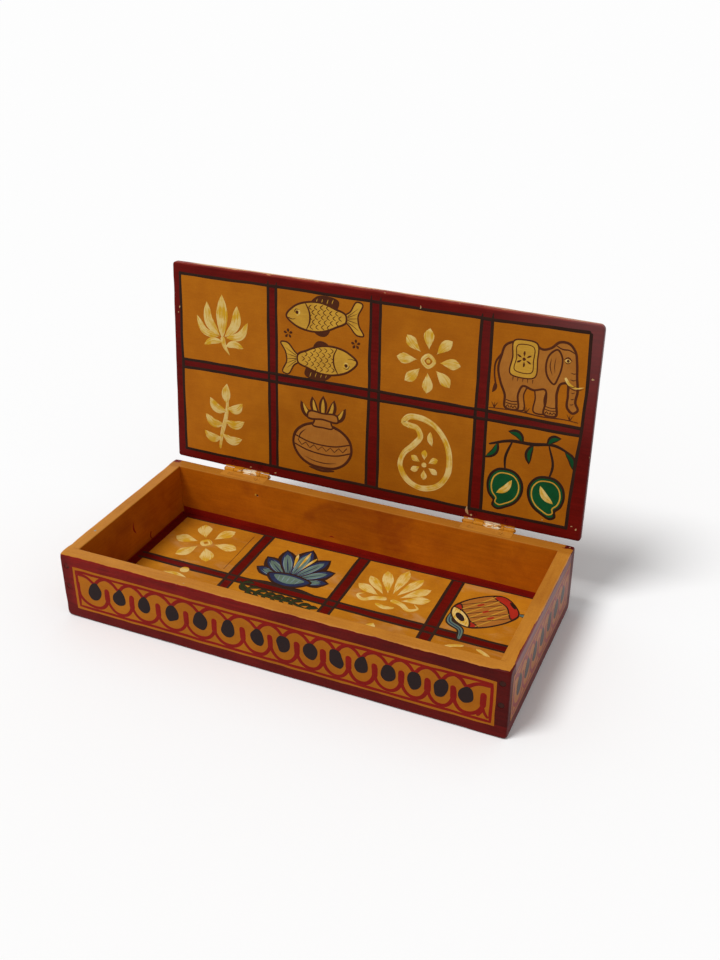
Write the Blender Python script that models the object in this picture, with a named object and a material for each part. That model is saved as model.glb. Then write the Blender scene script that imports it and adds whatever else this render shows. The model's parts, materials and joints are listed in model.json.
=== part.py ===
"""Hand-painted wooden keepsake box with a flat lid that stands open on two butt hinges.

Units are metres and +Z is up. The origin is the middle of the base's underside.
+X runs along the box towards its right-hand end, and +Y towards its hinged back.
The lid is built shut, in the frame of an empty on the hinge axis, and that empty
turns it to the angle at which it stands open.
"""

import math

import bmesh
import bpy
from mathutils import Matrix, Vector

# Box boards, sawn from one plank
BOX_LENGTH = 0.305
BOX_DEPTH = 0.142
BOX_HEIGHT = 0.0486
WALL_THICKNESS = 0.0092
BASE_THICKNESS = 0.0092
BOARD_EDGE_RADIUS = 0.0009

# Lid board, which overhangs the front wall as a finger lip and sits a little to the right
LID_THICKNESS = 0.0056
LID_LIP = 0.0051
LID_SIDE_SHIFT = 0.0015
LID_CORNER_RADIUS = 0.0018
LID_EDGE_RADIUS = 0.0008
LID_SEAT_GAP = 0.0004
LID_OPEN_ANGLE = math.radians(95.2)

# Butt hinges, let into the back wall and the lid
HINGE_LENGTH = 0.036
HINGE_INSET = 0.060
HINGE_LEAF_DEPTH = 0.0078
HINGE_LEAF_THICKNESS = 0.0009
HINGE_BARREL_RADIUS = 0.0016
HINGE_BARREL_STANDOFF = 0.0019
KNUCKLE_COUNT = 5
HINGE_PIN_RADIUS = 0.00075
HINGE_PIN_HEAD_RADIUS = 0.0012
HINGE_PIN_HEAD_HEIGHT = 0.0005

# Slotted countersunk screws in the hinge leaves
SCREW_HEAD_RADIUS = 0.0017
SCREW_HEAD_DEPTH = 0.0007
SCREW_SHANK_RADIUS = 0.0007
SCREW_POINT_LENGTH = 0.0012
SCREW_LENGTH_IN_BOX = 0.0080
SCREW_INSET = 0.007
SCREW_SINK = 0.0001
SCREW_SLOT_WIDTH = 0.0005
SCREW_SLOT_DEPTH = 0.0004
SCREW_TURN_STEP = math.radians(52)
LID_SCREW_COVER = 0.0011

# Wire nails through the front and back walls, and up through the base
NAIL_LENGTH = 0.024
NAIL_SHANK_RADIUS = 0.0008
NAIL_HEAD_RADIUS = 0.0019
NAIL_HEAD_HEIGHT = 0.0008
NAIL_POINT_LENGTH = 0.0022
NAIL_SINK = 0.0002
TOP_NAIL_DROP = 0.0090
CORNER_NAIL_SPACING = 0.0155
LONG_SIDE_NAIL_COUNT = 4
LONG_SIDE_NAIL_INSET = 0.032
SHORT_SIDE_NAIL_COUNT = 2
SHORT_SIDE_NAIL_INSET = 0.046

# Clearance between pieces that touch, and how far a cutter runs past a face
FIT_GAP = 0.0003
CUT_PAST = 0.002

BARREL_SEGMENTS = 24
FASTENER_SEGMENTS = 14

# Places worked out from the sizes above
HALF_LENGTH = BOX_LENGTH / 2
HALF_DEPTH = BOX_DEPTH / 2
WALL_FOOT = BASE_THICKNESS + FIT_GAP
WALL_MIDDLE = WALL_THICKNESS / 2
LID_DEPTH = BOX_DEPTH + LID_LIP
HINGE_AXIS = Vector((0, HALF_DEPTH + HINGE_BARREL_STANDOFF, BOX_HEIGHT + LID_SEAT_GAP / 2))
HINGE_BORE_RADIUS = HINGE_PIN_RADIUS + FIT_GAP
HINGE_REACH = HALF_LENGTH - HINGE_INSET
HINGE_CENTRES = {"left": -HINGE_REACH, "right": HINGE_REACH}
SCREW_LENGTH_IN_LID = LID_THICKNESS - LID_SCREW_COVER - SCREW_SINK - 2 * FIT_GAP


def clear_scene():
    """Removes what the file opened with."""
    for thing in list(bpy.data.objects):
        bpy.data.objects.remove(thing)


def finish(name, colour, roughness, metallic=0.0):
    """A Principled material of one colour."""
    material = bpy.data.materials.new(name)
    material.use_nodes = True
    shader = material.node_tree.nodes["Principled BSDF"]
    shader.inputs["Base Color"].default_value = (*colour, 1.0)
    shader.inputs["Roughness"].default_value = roughness
    shader.inputs["Metallic"].default_value = metallic
    material.diffuse_color = (*colour, 1.0)
    return material


def place(name, mesh, placement, parent=None):
    """Links a mesh into the scene as a named object."""
    thing = bpy.data.objects.new(name, mesh)
    thing.parent = parent
    thing.matrix_basis = placement
    bpy.context.scene.collection.objects.link(thing)
    return thing


def mesh_from(shape, name):
    """Turns a finished bmesh into a mesh whose faces point out."""
    bmesh.ops.recalc_face_normals(shape, faces=shape.faces)
    mesh = bpy.data.meshes.new(name)
    shape.to_mesh(mesh)
    shape.free()
    return mesh


def block_mesh(name, size):
    """A rectangular block round its own middle."""
    shape = bmesh.new()
    bmesh.ops.create_cube(shape, size=1.0, matrix=Matrix.Diagonal((*size, 1.0)))
    return mesh_from(shape, name)


def ring_of(shape, radius, height, segments):
    """A circle of vertices round the Z axis."""
    turns = [2 * math.pi * step / segments for step in range(segments)]
    return [shape.verts.new((radius * math.cos(turn), radius * math.sin(turn), height)) for turn in turns]


def turned_mesh(name, profile, segments=FASTENER_SEGMENTS):
    """A solid turned about Z from (radius, height) points that start and end on the axis."""
    shape = bmesh.new()
    low_tip = shape.verts.new((0, 0, profile[0][1]))
    high_tip = shape.verts.new((0, 0, profile[-1][1]))
    rings = [ring_of(shape, radius, height, segments) for radius, height in profile[1:-1]]
    for step in range(segments):
        after = (step + 1) % segments
        shape.faces.new((low_tip, rings[0][after], rings[0][step]))
        for low, high in zip(rings, rings[1:]):
            shape.faces.new((low[step], low[after], high[after], high[step]))
        shape.faces.new((high_tip, rings[-1][step], rings[-1][after]))
    return mesh_from(shape, name)


def tube_mesh(name, outer, inner, length, segments=BARREL_SEGMENTS):
    """A plain tube along Z, round its own middle."""
    shape = bmesh.new()
    half = length / 2
    corners = ((outer, -half), (outer, half), (inner, half), (inner, -half))
    rings = [ring_of(shape, radius, height, segments) for radius, height in corners]
    for first, second in zip(rings, rings[1:] + rings[:1]):
        for step in range(segments):
            after = (step + 1) % segments
            shape.faces.new((first[step], first[after], second[after], second[step]))
    return mesh_from(shape, name)


def gathered_mesh(name, mesh, placements):
    """One mesh that holds a copy of another at each placement."""
    shape = bmesh.new()
    for placement in placements:
        known = len(shape.verts)
        shape.from_mesh(mesh)
        bmesh.ops.transform(shape, matrix=placement, verts=list(shape.verts)[known:])
    return mesh_from(shape, name)


def smooth_round(mesh, sharp_above=35):
    """Shades round faces smooth and keeps the crisp edges."""
    mesh.shade_smooth()
    mesh.set_sharp_from_angle(angle=math.radians(sharp_above))


def sand_edges(shape, radius, is_open):
    """Rounds each edge between two faces that stay open when the box is put together."""
    edges = [edge for edge in shape.edges if all(is_open(face.normal) for face in edge.link_faces)]
    bmesh.ops.bevel(shape, geom=edges, offset=radius, segments=2, profile=0.5, affect="EDGES")


def helper(name, mesh, placement, parent=None):
    """A cutter, or an added shape, that only its host's Boolean uses."""
    thing = place(name, mesh, placement, parent)
    thing.hide_render = True
    thing.display_type = "WIRE"
    return thing


def combine(host, tool, operation="DIFFERENCE"):
    """Cuts a helper out of its host, or joins it on."""
    boolean = host.modifiers.new(tool.name, "BOOLEAN")
    boolean.operation = operation
    boolean.object = tool


def evenly(count, half_span):
    """That many places, spread evenly from -half_span to +half_span."""
    if count < 2:
        return [0.0] * count
    return [half_span * (2 * step / (count - 1) - 1) for step in range(count)]


def driven(point, direction):
    """A placement for a nail or a screw: its head's face at a point, its tip along a direction."""
    return Matrix.Translation(point) @ Vector(direction).to_track_quat("Z", "Y").to_matrix().to_4x4()


def make_finishes():
    """The paints and metals, by name."""
    return {
        "red": finish("deep_red_paint", (0.17, 0.012, 0.010), 0.38),
        "ochre": finish("ochre_paint", (0.50, 0.20, 0.025), 0.42),
        "hinge": finish("painted_hinge_brass", (0.47, 0.27, 0.07), 0.45, 0.3),
        "brass": finish("worn_brass", (0.62, 0.42, 0.16), 0.35, 1.0),
        "iron": finish("dark_nail_iron", (0.07, 0.05, 0.045), 0.55, 0.8),
    }


def make_board(name, low, high, paints, is_open, is_ochre):
    """A board between two corners, ochre on the faces whose normal is_ochre picks and red elsewhere."""
    low = Vector(low)
    high = Vector(high)
    shape = bmesh.new()
    bmesh.ops.create_cube(shape, size=1.0, matrix=Matrix.Diagonal((*(high - low), 1.0)))
    shape.normal_update()
    for face in shape.faces:
        face.material_index = int(is_ochre(face.normal))
    sand_edges(shape, BOARD_EDGE_RADIUS, is_open)
    mesh = mesh_from(shape, name)
    mesh.materials.append(paints["red"])
    mesh.materials.append(paints["ochre"])
    return place(name, mesh, Matrix.Translation((low + high) / 2))


def make_box_boards(paints):
    """The base and the four walls. The front and back walls run full length and cap the ends."""
    inner = HALF_DEPTH - WALL_THICKNESS
    boards = {}
    boards["base_board"] = make_board(
        "base_board",
        (-HALF_LENGTH, -HALF_DEPTH, 0),
        (HALF_LENGTH, HALF_DEPTH, BASE_THICKNESS),
        paints,
        is_open=lambda normal: normal.z < 0.5,
        is_ochre=lambda normal: normal.z > 0.5,
    )
    for name, side in (("front_wall", -1), ("back_wall", 1)):
        near, far = sorted((side * inner, side * HALF_DEPTH))
        boards[name] = make_board(
            name,
            (-HALF_LENGTH, near, WALL_FOOT),
            (HALF_LENGTH, far, BOX_HEIGHT),
            paints,
            is_open=lambda normal, out=side: normal.y * out > -0.5 and normal.z > -0.5,
            is_ochre=lambda normal, out=side: normal.z > 0.5 or normal.y * out < -0.5,
        )
    for name, side in (("left_end", -1), ("right_end", 1)):
        near, far = sorted((side * (HALF_LENGTH - WALL_THICKNESS), side * HALF_LENGTH))
        boards[name] = make_board(
            name,
            (near, -inner + FIT_GAP, WALL_FOOT),
            (far, inner - FIT_GAP, BOX_HEIGHT),
            paints,
            is_open=lambda normal, out=side: normal.x * out > 0.5 or normal.z > 0.5,
            is_ochre=lambda normal, out=side: normal.z > 0.5 or normal.x * out < -0.5,
        )
    return boards


def make_lid_board(paints, hinge_frame):
    """The flat lid, shut in the hinge frame, with its rear edge in line with the box's back."""
    shape = bmesh.new()
    size = (BOX_LENGTH, LID_DEPTH, LID_THICKNESS)
    bmesh.ops.create_cube(shape, size=1.0, matrix=Matrix.Diagonal((*size, 1.0)))
    shape.normal_update()
    upright = []
    for edge in shape.edges:
        if abs(edge.verts[0].co.z - edge.verts[1].co.z) > LID_THICKNESS / 2:
            upright.append(edge)
    bmesh.ops.bevel(
        shape, geom=upright, offset=LID_CORNER_RADIUS, segments=3, profile=0.5, affect="EDGES"
    )
    shape.normal_update()
    rims = []
    for face in shape.faces:
        if abs(face.normal.z) > 0.5:
            rims.extend(face.edges)
            face.material_index = int(face.normal.z < 0)
    bmesh.ops.bevel(
        shape, geom=rims, offset=LID_EDGE_RADIUS, segments=2, profile=0.5, affect="EDGES"
    )
    mesh = mesh_from(shape, "lid_board")
    mesh.materials.append(paints["red"])
    mesh.materials.append(paints["ochre"])
    middle_y = -HINGE_BARREL_STANDOFF - LID_DEPTH / 2
    middle_z = (LID_SEAT_GAP + LID_THICKNESS) / 2
    placement = Matrix.Translation((LID_SIDE_SHIFT, middle_y, middle_z))
    return place("lid_board", mesh, placement, hinge_frame)


class LeafPlace:
    """Where one hinge leaf lies: on the box (below the axis) or in the lid (above it)."""

    def __init__(self, side, owner, wood, hinge_frame):
        in_lid = owner == "lid"
        self.name = f"{side}_hinge_{owner}"
        self.wood = wood
        self.into = 1 if in_lid else -1
        self.face = self.into * LID_SEAT_GAP / 2
        self.parent = hinge_frame if in_lid else None
        centre = Vector((HINGE_CENTRES[side], 0, 0))
        self.origin = Matrix.Translation(centre if in_lid else HINGE_AXIS + centre)
        self.first_knuckle = 1 if in_lid else 0
        self.screw_length = SCREW_LENGTH_IN_LID if in_lid else SCREW_LENGTH_IN_BOX

    def knuckles(self):
        """This leaf's knuckles as (middle, length) along the hinge. The box leaf has the end ones."""
        pitch = HINGE_LENGTH / KNUCKLE_COUNT
        for index in range(self.first_knuckle, KNUCKLE_COUNT, 2):
            yield (index + 0.5) * pitch - HINGE_LENGTH / 2, pitch - FIT_GAP


def make_leaf(leaf_place, metal):
    """A hinge leaf: a plate let into the wood, tabs that reach the barrel, and its knuckles."""
    name = leaf_place.name + "_leaf"
    plate_front = -HINGE_BARREL_STANDOFF - HINGE_LEAF_DEPTH
    plate_back = -HINGE_BARREL_RADIUS - FIT_GAP
    middle_z = leaf_place.face + leaf_place.into * HINGE_LEAF_THICKNESS / 2
    plate = block_mesh(name, (HINGE_LENGTH, plate_back - plate_front, HINGE_LEAF_THICKNESS))
    plate.transform(Matrix.Translation((0, (plate_back + plate_front) / 2, middle_z)))
    plate.materials.append(metal)
    leaf = place(name, plate, leaf_place.origin, leaf_place.parent)

    tab_root = plate_back - HINGE_LEAF_THICKNESS
    tab_end = -(HINGE_BORE_RADIUS + HINGE_BARREL_RADIUS) / 2
    tabs = []
    rings = []
    for middle, length in leaf_place.knuckles():
        tab_size = Matrix.Diagonal((length, tab_end - tab_root, HINGE_LEAF_THICKNESS, 1))
        tabs.append(Matrix.Translation((middle, (tab_root + tab_end) / 2, middle_z)) @ tab_size)
        rings.append(Matrix.Translation((middle, 0, 0)) @ Matrix.Diagonal((length, 1, 1, 1)))
    unit_tab = block_mesh(name + "_tab", (1, 1, 1))
    unit_ring = tube_mesh(name + "_ring", HINGE_BARREL_RADIUS, HINGE_BORE_RADIUS, 1)
    unit_ring.transform(Matrix.Rotation(math.pi / 2, 4, "Y"))
    for suffix, unit, placements in (("_tabs", unit_tab, tabs), ("_knuckles", unit_ring, rings)):
        added = gathered_mesh(name + suffix, unit, placements)
        combine(leaf, helper(name + suffix, added, leaf_place.origin, leaf_place.parent), "UNION")
    return leaf


def cut_leaf_seat(leaf_place):
    """The shallow recess in which a leaf lies flush with the wood."""
    name = leaf_place.name + "_seat"
    floor = leaf_place.face + leaf_place.into * (HINGE_LEAF_THICKNESS + FIT_GAP)
    mouth = leaf_place.face - leaf_place.into * CUT_PAST
    front = -HINGE_BARREL_STANDOFF - HINGE_LEAF_DEPTH - FIT_GAP
    back = -HINGE_BARREL_STANDOFF + CUT_PAST
    mesh = block_mesh(name, (HINGE_LENGTH + 2 * FIT_GAP, back - front, abs(floor - mouth)))
    mesh.transform(Matrix.Translation((0, (front + back) / 2, (floor + mouth) / 2)))
    combine(leaf_place.wood, helper(name, mesh, leaf_place.origin, leaf_place.parent))


def screw_profile(length, clearance=0.0, past=0.0):
    """A countersunk screw along Z with its head's face at 0. Its cutter has a clearance all round."""
    head = SCREW_HEAD_RADIUS + clearance
    shank = SCREW_SHANK_RADIUS + clearance
    return [
        (0, -past),
        (head, -past),
        (head, SCREW_SINK / 2),
        (shank, SCREW_HEAD_DEPTH + clearance),
        (shank, length - SCREW_POINT_LENGTH + clearance),
        (0, length + 2 * clearance),
    ]


def make_screws(leaf_place, leaf, metal):
    """Two slotted countersunk screws through a leaf into the wood behind it."""
    name = leaf_place.name + "_screw"
    length = leaf_place.screw_length
    row = -HINGE_BARREL_STANDOFF - HINGE_LEAF_DEPTH / 2
    face = leaf_place.face + leaf_place.into * SCREW_SINK
    row_ends = evenly(2, HINGE_LENGTH / 2 - SCREW_INSET)
    seats = [driven((x, row, face), (0, 0, leaf_place.into)) for x in row_ends]

    screw_mesh = turned_mesh(name, screw_profile(length))
    screw_mesh.materials.append(metal)
    smooth_round(screw_mesh)
    slot_size = (3 * SCREW_HEAD_RADIUS, SCREW_SLOT_WIDTH, 2 * SCREW_SLOT_DEPTH)
    slot_mesh = block_mesh(name + "_slot", slot_size)
    for index, seat in enumerate(seats, start=1):
        turned = leaf_place.origin @ seat @ Matrix.Rotation(index * SCREW_TURN_STEP, 4, "Z")
        screw = place(f"{name}_{index}", screw_mesh, turned, leaf_place.parent)
        combine(screw, helper(f"{name}_{index}_slot", slot_mesh, turned, leaf_place.parent))

    hole = turned_mesh(name + "_hole", screw_profile(length, FIT_GAP, CUT_PAST / 2))
    holes = gathered_mesh(name + "_holes", hole, seats)
    cutter = helper(name + "_holes", holes, leaf_place.origin, leaf_place.parent)
    combine(leaf, cutter)
    combine(leaf_place.wood, cutter)


def make_pin(side, metal):
    """A hinge pin with a peened head at each end of the barrel."""
    end = HINGE_LENGTH / 2 + FIT_GAP
    crown = end + HINGE_PIN_HEAD_HEIGHT / 2
    tip = end + HINGE_PIN_HEAD_HEIGHT
    neck = (HINGE_PIN_RADIUS + HINGE_PIN_HEAD_RADIUS) / 2
    upper = [
        (HINGE_PIN_RADIUS, end),
        (HINGE_PIN_HEAD_RADIUS, end),
        (HINGE_PIN_HEAD_RADIUS, crown),
        (neck, tip),
    ]
    lower = [(radius, -height) for radius, height in reversed(upper)]
    mesh = turned_mesh(f"{side}_hinge_pin", [(0, -tip), *lower, *upper, (0, tip)])
    mesh.transform(Matrix.Rotation(math.pi / 2, 4, "Y"))
    mesh.materials.append(metal)
    smooth_round(mesh)
    centre = HINGE_AXIS + Vector((HINGE_CENTRES[side], 0, 0))
    place(f"{side}_hinge_pin", mesh, Matrix.Translation(centre))


def make_hinges(boards, lid, paints, hinge_frame):
    """Both hinges, each with its leaves, screws and pin."""
    for side in HINGE_CENTRES:
        for owner, wood in (("box", boards["back_wall"]), ("lid", lid)):
            leaf_place = LeafPlace(side, owner, wood, hinge_frame)
            leaf = make_leaf(leaf_place, paints["hinge"])
            cut_leaf_seat(leaf_place)
            make_screws(leaf_place, leaf, paints["brass"])
        make_pin(side, paints["brass"])


def nail_profile(clearance=0.0, past=0.0):
    """A wire nail along Z with its head's face at 0. Its cutter has a clearance all round."""
    head = NAIL_HEAD_RADIUS + clearance
    shank = NAIL_SHANK_RADIUS + clearance
    return [
        (0, -past),
        (head, -past),
        (head, NAIL_HEAD_HEIGHT + clearance),
        (shank, NAIL_HEAD_HEIGHT + clearance),
        (shank, NAIL_LENGTH - NAIL_POINT_LENGTH + clearance),
        (0, NAIL_LENGTH + 2 * clearance),
    ]


def drive_nails(name, placements, woods, nail_mesh, hole_mesh):
    """A row of nails, each its own object, and their holes in the boards that they join."""
    for index, placement in enumerate(placements, start=1):
        place(f"{name}_{index}", nail_mesh, placement)
    holes = gathered_mesh(name + "_holes", hole_mesh, placements)
    cutter = helper(name + "_holes", holes, Matrix())
    for wood in woods:
        combine(wood, cutter)


def make_nails(boards, metal):
    """Two nails at each corner of the walls, and rows up through the base into each wall."""
    nail_mesh = turned_mesh("wire_nail", nail_profile())
    nail_mesh.materials.append(metal)
    smooth_round(nail_mesh)
    hole_mesh = turned_mesh("nail_hole", nail_profile(FIT_GAP, CUT_PAST))
    base = boards["base_board"]

    for wall, y_side in (("front", -1), ("back", 1)):
        long_wall = boards[wall + "_wall"]
        for end, x_side in (("left", -1), ("right", 1)):
            x = x_side * (HALF_LENGTH - WALL_MIDDLE)
            y = y_side * (HALF_DEPTH - NAIL_SINK)
            top = BOX_HEIGHT - TOP_NAIL_DROP
            heights = (top, top - CORNER_NAIL_SPACING)
            placements = [driven((x, y, z), (0, -y_side, 0)) for z in heights]
            woods = (long_wall, boards[end + "_end"])
            drive_nails(f"{wall}_{end}_corner_nail", placements, woods, nail_mesh, hole_mesh)
        y = y_side * (HALF_DEPTH - WALL_MIDDLE)
        along = evenly(LONG_SIDE_NAIL_COUNT, HALF_LENGTH - LONG_SIDE_NAIL_INSET)
        placements = [driven((x, y, NAIL_SINK), (0, 0, 1)) for x in along]
        drive_nails(f"{wall}_base_nail", placements, (base, long_wall), nail_mesh, hole_mesh)

    for end, x_side in (("left", -1), ("right", 1)):
        x = x_side * (HALF_LENGTH - WALL_MIDDLE)
        across = evenly(SHORT_SIDE_NAIL_COUNT, HALF_DEPTH - SHORT_SIDE_NAIL_INSET)
        placements = [driven((x, y, NAIL_SINK), (0, 0, 1)) for y in across]
        drive_nails(f"{end}_base_nail", placements, (base, boards[end + "_end"]), nail_mesh, hole_mesh)


def main():
    """Builds the whole box with its lid standing open."""
    clear_scene()
    paints = make_finishes()
    hinge_frame = bpy.data.objects.new("hinge_axis", None)
    hinge_frame.location = HINGE_AXIS
    hinge_frame.rotation_euler = (-LID_OPEN_ANGLE, 0, 0)
    bpy.context.scene.collection.objects.link(hinge_frame)
    boards = make_box_boards(paints)
    lid = make_lid_board(paints, hinge_frame)
    make_hinges(boards, lid, paints, hinge_frame)
    make_nails(boards, paints["iron"])
    bpy.context.view_layer.update()


main()
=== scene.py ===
"""The finished look of the painted wooden box: boards, brushed pictures, scroll borders and hinges.

Sizes on a painted face are in millimetres, and everything else is in metres. The lid's pieces
are laid out as if the lid lay shut, and their objects turn them to where the lid stands open.
"""

import json
import math
from itertools import product

import bmesh
import bpy
from mathutils import Matrix, Vector, noise
from mathutils.geometry import tessellate_polygon


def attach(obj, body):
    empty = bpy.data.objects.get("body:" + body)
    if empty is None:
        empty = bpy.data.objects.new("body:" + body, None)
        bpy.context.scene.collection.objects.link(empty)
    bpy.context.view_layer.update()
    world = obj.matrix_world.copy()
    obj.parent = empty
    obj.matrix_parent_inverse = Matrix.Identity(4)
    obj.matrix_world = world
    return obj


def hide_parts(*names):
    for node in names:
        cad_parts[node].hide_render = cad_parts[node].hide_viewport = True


bl_info = {
    "name": "Painted wooden box",
    "version": (1, 0, 0),
    "blender": (4, 5, 0),
    "location": "View3D > Sidebar > Painted box",
    "description": "Dresses the packed box with its painted boards, pictures, borders and hinges",
    "category": "Object",
}

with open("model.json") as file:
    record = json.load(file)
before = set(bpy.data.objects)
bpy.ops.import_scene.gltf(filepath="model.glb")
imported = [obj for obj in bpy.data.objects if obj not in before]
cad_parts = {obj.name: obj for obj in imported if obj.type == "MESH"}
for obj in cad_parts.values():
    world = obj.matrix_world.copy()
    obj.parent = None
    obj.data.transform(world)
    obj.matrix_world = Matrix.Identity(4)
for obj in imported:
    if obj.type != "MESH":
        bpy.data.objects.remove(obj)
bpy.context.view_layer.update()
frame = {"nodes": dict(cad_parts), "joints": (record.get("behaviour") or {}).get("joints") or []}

MM = 0.001

# Thin paint films, in millimetres above the board
FILM_ROOT = -0.03
GROUND_FILM = 0.05
BORDER_FILM = 0.07
CHIP_FILM = 0.12
FIRST_STROKE = 0.085
STROKE_STEP = 0.0016

# A stroke's edge: its height as a share of the film, and how much of its width is flat
EDGE_RISE = 0.35
EDGE_SHARE = 0.74

# How many millimetres one unit of a stroke's marks stands for, and how far apart two strokes' marks
# start
MARK_SCALE = 100
MARK_START = 37.0

# How much a face shines when it is looked at head on
LID_SHEEN = 0.06
FLOOR_SHEEN = 0.16
GLANCING = 0.42
WALL_SHEEN = 0.08

# How far in from a corner a board's edges soften, and how fine its grid is
CORNER_REACH = 0.004
BOARD_PITCH = 0.006

# The hinge line and the lid's two frames
HINGE = next(joint for joint in frame["joints"] if joint["name"] == "lid_hinge")
HINGE_POINT = Vector(HINGE["pos_m"])


def turned_about_hinge(degrees):
    """The turn of the lid about its hinge line by an angle from where it stands open."""
    there = Matrix.Translation(HINGE_POINT)
    return there @ Matrix.Rotation(math.radians(degrees), 4, Vector(HINGE["axis"])) @ there.inverted()


SHUT = turned_about_hinge(HINGE["range_deg"][0])
OPEN = SHUT.inverted()
STILL = Matrix.Identity(4)


def corners_of(node, placement=STILL):
    """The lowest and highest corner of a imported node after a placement."""
    points = [placement @ vertex.co for vertex in frame["nodes"][node].data.vertices]
    low = Vector(min(point[axis] for point in points) for axis in range(3))
    high = Vector(max(point[axis] for point in points) for axis in range(3))
    return low, high


BASE_LOW, BASE_HIGH = corners_of("base_board")
WALL_LOW, WALL_HIGH = corners_of("front_wall")
LID_LOW, LID_HIGH = corners_of("lid_board", SHUT)
LID_MIDDLE, LID_HALF = (LID_LOW + LID_HIGH) / 2, (LID_HIGH - LID_LOW) / 2
HALF_LENGTH = BASE_HIGH.x
HALF_DEPTH = BASE_HIGH.y
TOP = WALL_HIGH.z
HINGE_CENTRE = sum(corner.x for corner in corners_of("right_hinge_pin")) / 2
FOOT = BASE_HIGH.z
WALL = WALL_HIGH.y - WALL_LOW.y
INNER_LENGTH = HALF_LENGTH - WALL
INNER_DEPTH = HALF_DEPTH - WALL


def linear(red, green, blue):
    """A paint colour written as on a screen, from 0 to 255, in the values that shaders use."""
    shares = (value / 255 for value in (red, green, blue))
    return tuple(v / 12.92 if v <= 0.04045 else ((v + 0.055) / 1.055) ** 2.4 for v in shares)


def toned(*screen):
    """A fixed tone, written as on a screen, as an opaque shader colour."""
    return (*linear(*screen), 1.0)


def colour(label, use, *screen):
    """A colour setting with its default."""
    return bpy.props.FloatVectorProperty(
        name=label, description=use, subtype="COLOR", size=3, min=0, max=1, default=linear(*screen)
    )


# The longest that a length setting can be, in metres
LONGEST = 0.02


def length(label, use, millimetres):
    """A length setting with its default."""
    return bpy.props.FloatProperty(
        name=label,
        description=use,
        default=millimetres * MM,
        min=0,
        max=LONGEST,
        precision=5,
        subtype="DISTANCE",
        unit="LENGTH",
    )


def amount(label, use, default, top=1.0, subtype="FACTOR"):
    """A plain amount with its default."""
    return bpy.props.FloatProperty(
        name=label, description=use, default=default, min=0, max=top, subtype=subtype
    )


class PAINTEDBOX_PG_paints(bpy.types.PropertyGroup):
    """The paints on the box."""

    red: colour("Deep red", "Outside of the boards and the bands between pictures", 108, 17, 12)
    rim: colour("Rim ochre", "Top edges of the walls", 198, 131, 46)
    inside: colour("Inside orange", "Inner faces of the walls", 196, 106, 14)
    ochre: colour("Ochre ground", "Ground of the lid's pictures and of the borders", 194, 116, 20)
    golden: colour("Golden ground", "Ground of the pictures on the floor", 202, 132, 28)
    line: colour("Line black", "Lines round the pictures", 36, 22, 16)
    scroll: colour("Scroll red", "Scrolls and lines of the borders", 152, 26, 16)
    # The foot bands are a real red band, painted brighter than the floor's red bands to stand in for light
    # in the corners
    foot: colour("Foot red", "Bands along the foot of the inner walls", 156, 30, 18)
    drop: colour("Drop black", "Drops in the scroll borders", 34, 24, 24)
    cream: colour("Cream", "Broad brushed flowers and leaves", 240, 224, 160)
    yellow: colour("Yellow", "Bodies and rims in the pictures", 222, 172, 62)
    tan: colour("Tan", "Soft fill in the pictures", 184, 120, 48)
    brown: colour("Brown", "Outlines in the pictures", 66, 34, 18)
    blue: colour("Blue", "Water lily and drum", 44, 58, 96)
    pale_blue: colour("Pale blue", "Lights on the water lily and a stray touch", 142, 170, 178)
    teal: colour("Teal", "Water lily and drum", 112, 142, 128)
    green: colour("Green", "Fruit and leaves", 22, 88, 48)
    leaf: colour("Leaf green", "Leaves of the garland and of the vine on the lid", 44, 58, 26)
    accent: colour("Bright red", "Bands of the drum and the flower under the garland", 186, 48, 34)
    bare: colour("Chipped wood", "Places where the paint has come off", 206, 168, 118)


class PAINTEDBOX_PG_sizes(bpy.types.PropertyGroup):
    """The sizes of the brushwork and of the boards' edges."""

    edge: length("Edge radius", "Roundness of the boards' outer edges", 1.25)
    inner_edge: length("Inner edge radius", "Roundness of the rim's inner edges", 0.45)
    lid_edge: length("Lid edge radius", "Roundness of the lid's edges", 1.25)
    line: length("Line width", "Width of the black lines round the pictures", 2.15)
    frame: length("Frame line width", "Width of the ochre line round a border", 1.4)
    scroll: length("Scroll width", "Width of the red scrolls", 2.7)
    cream: length("Broad stroke width", "Width of the broad cream strokes", 5.4)
    wobble: length("Hand wobble", "How far a hand-drawn line strays", 0.4)
    wear: amount("Wear", "How much the edges are worn", 0.5)


class PAINTEDBOX_PG_stage(bpy.types.PropertyGroup):
    """The camera and the light."""

    lens: amount("Lens", "Focal length in millimetres", 41.834, 300, "NONE")
    sun: amount("Sun", "Strength of the soft key light", 1.95, 20, "NONE")
    sky: amount("Sky", "Strength of the light from all round", 0.45, 10, "NONE")
    floor: amount("Floor", "Brightness of the floor as the camera sees it", 0.998)


def paints():
    """The paint settings."""
    return bpy.context.scene.painted_box_paints


def sizes():
    """The size settings."""
    return bpy.context.scene.painted_box_sizes


# Shader building


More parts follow.
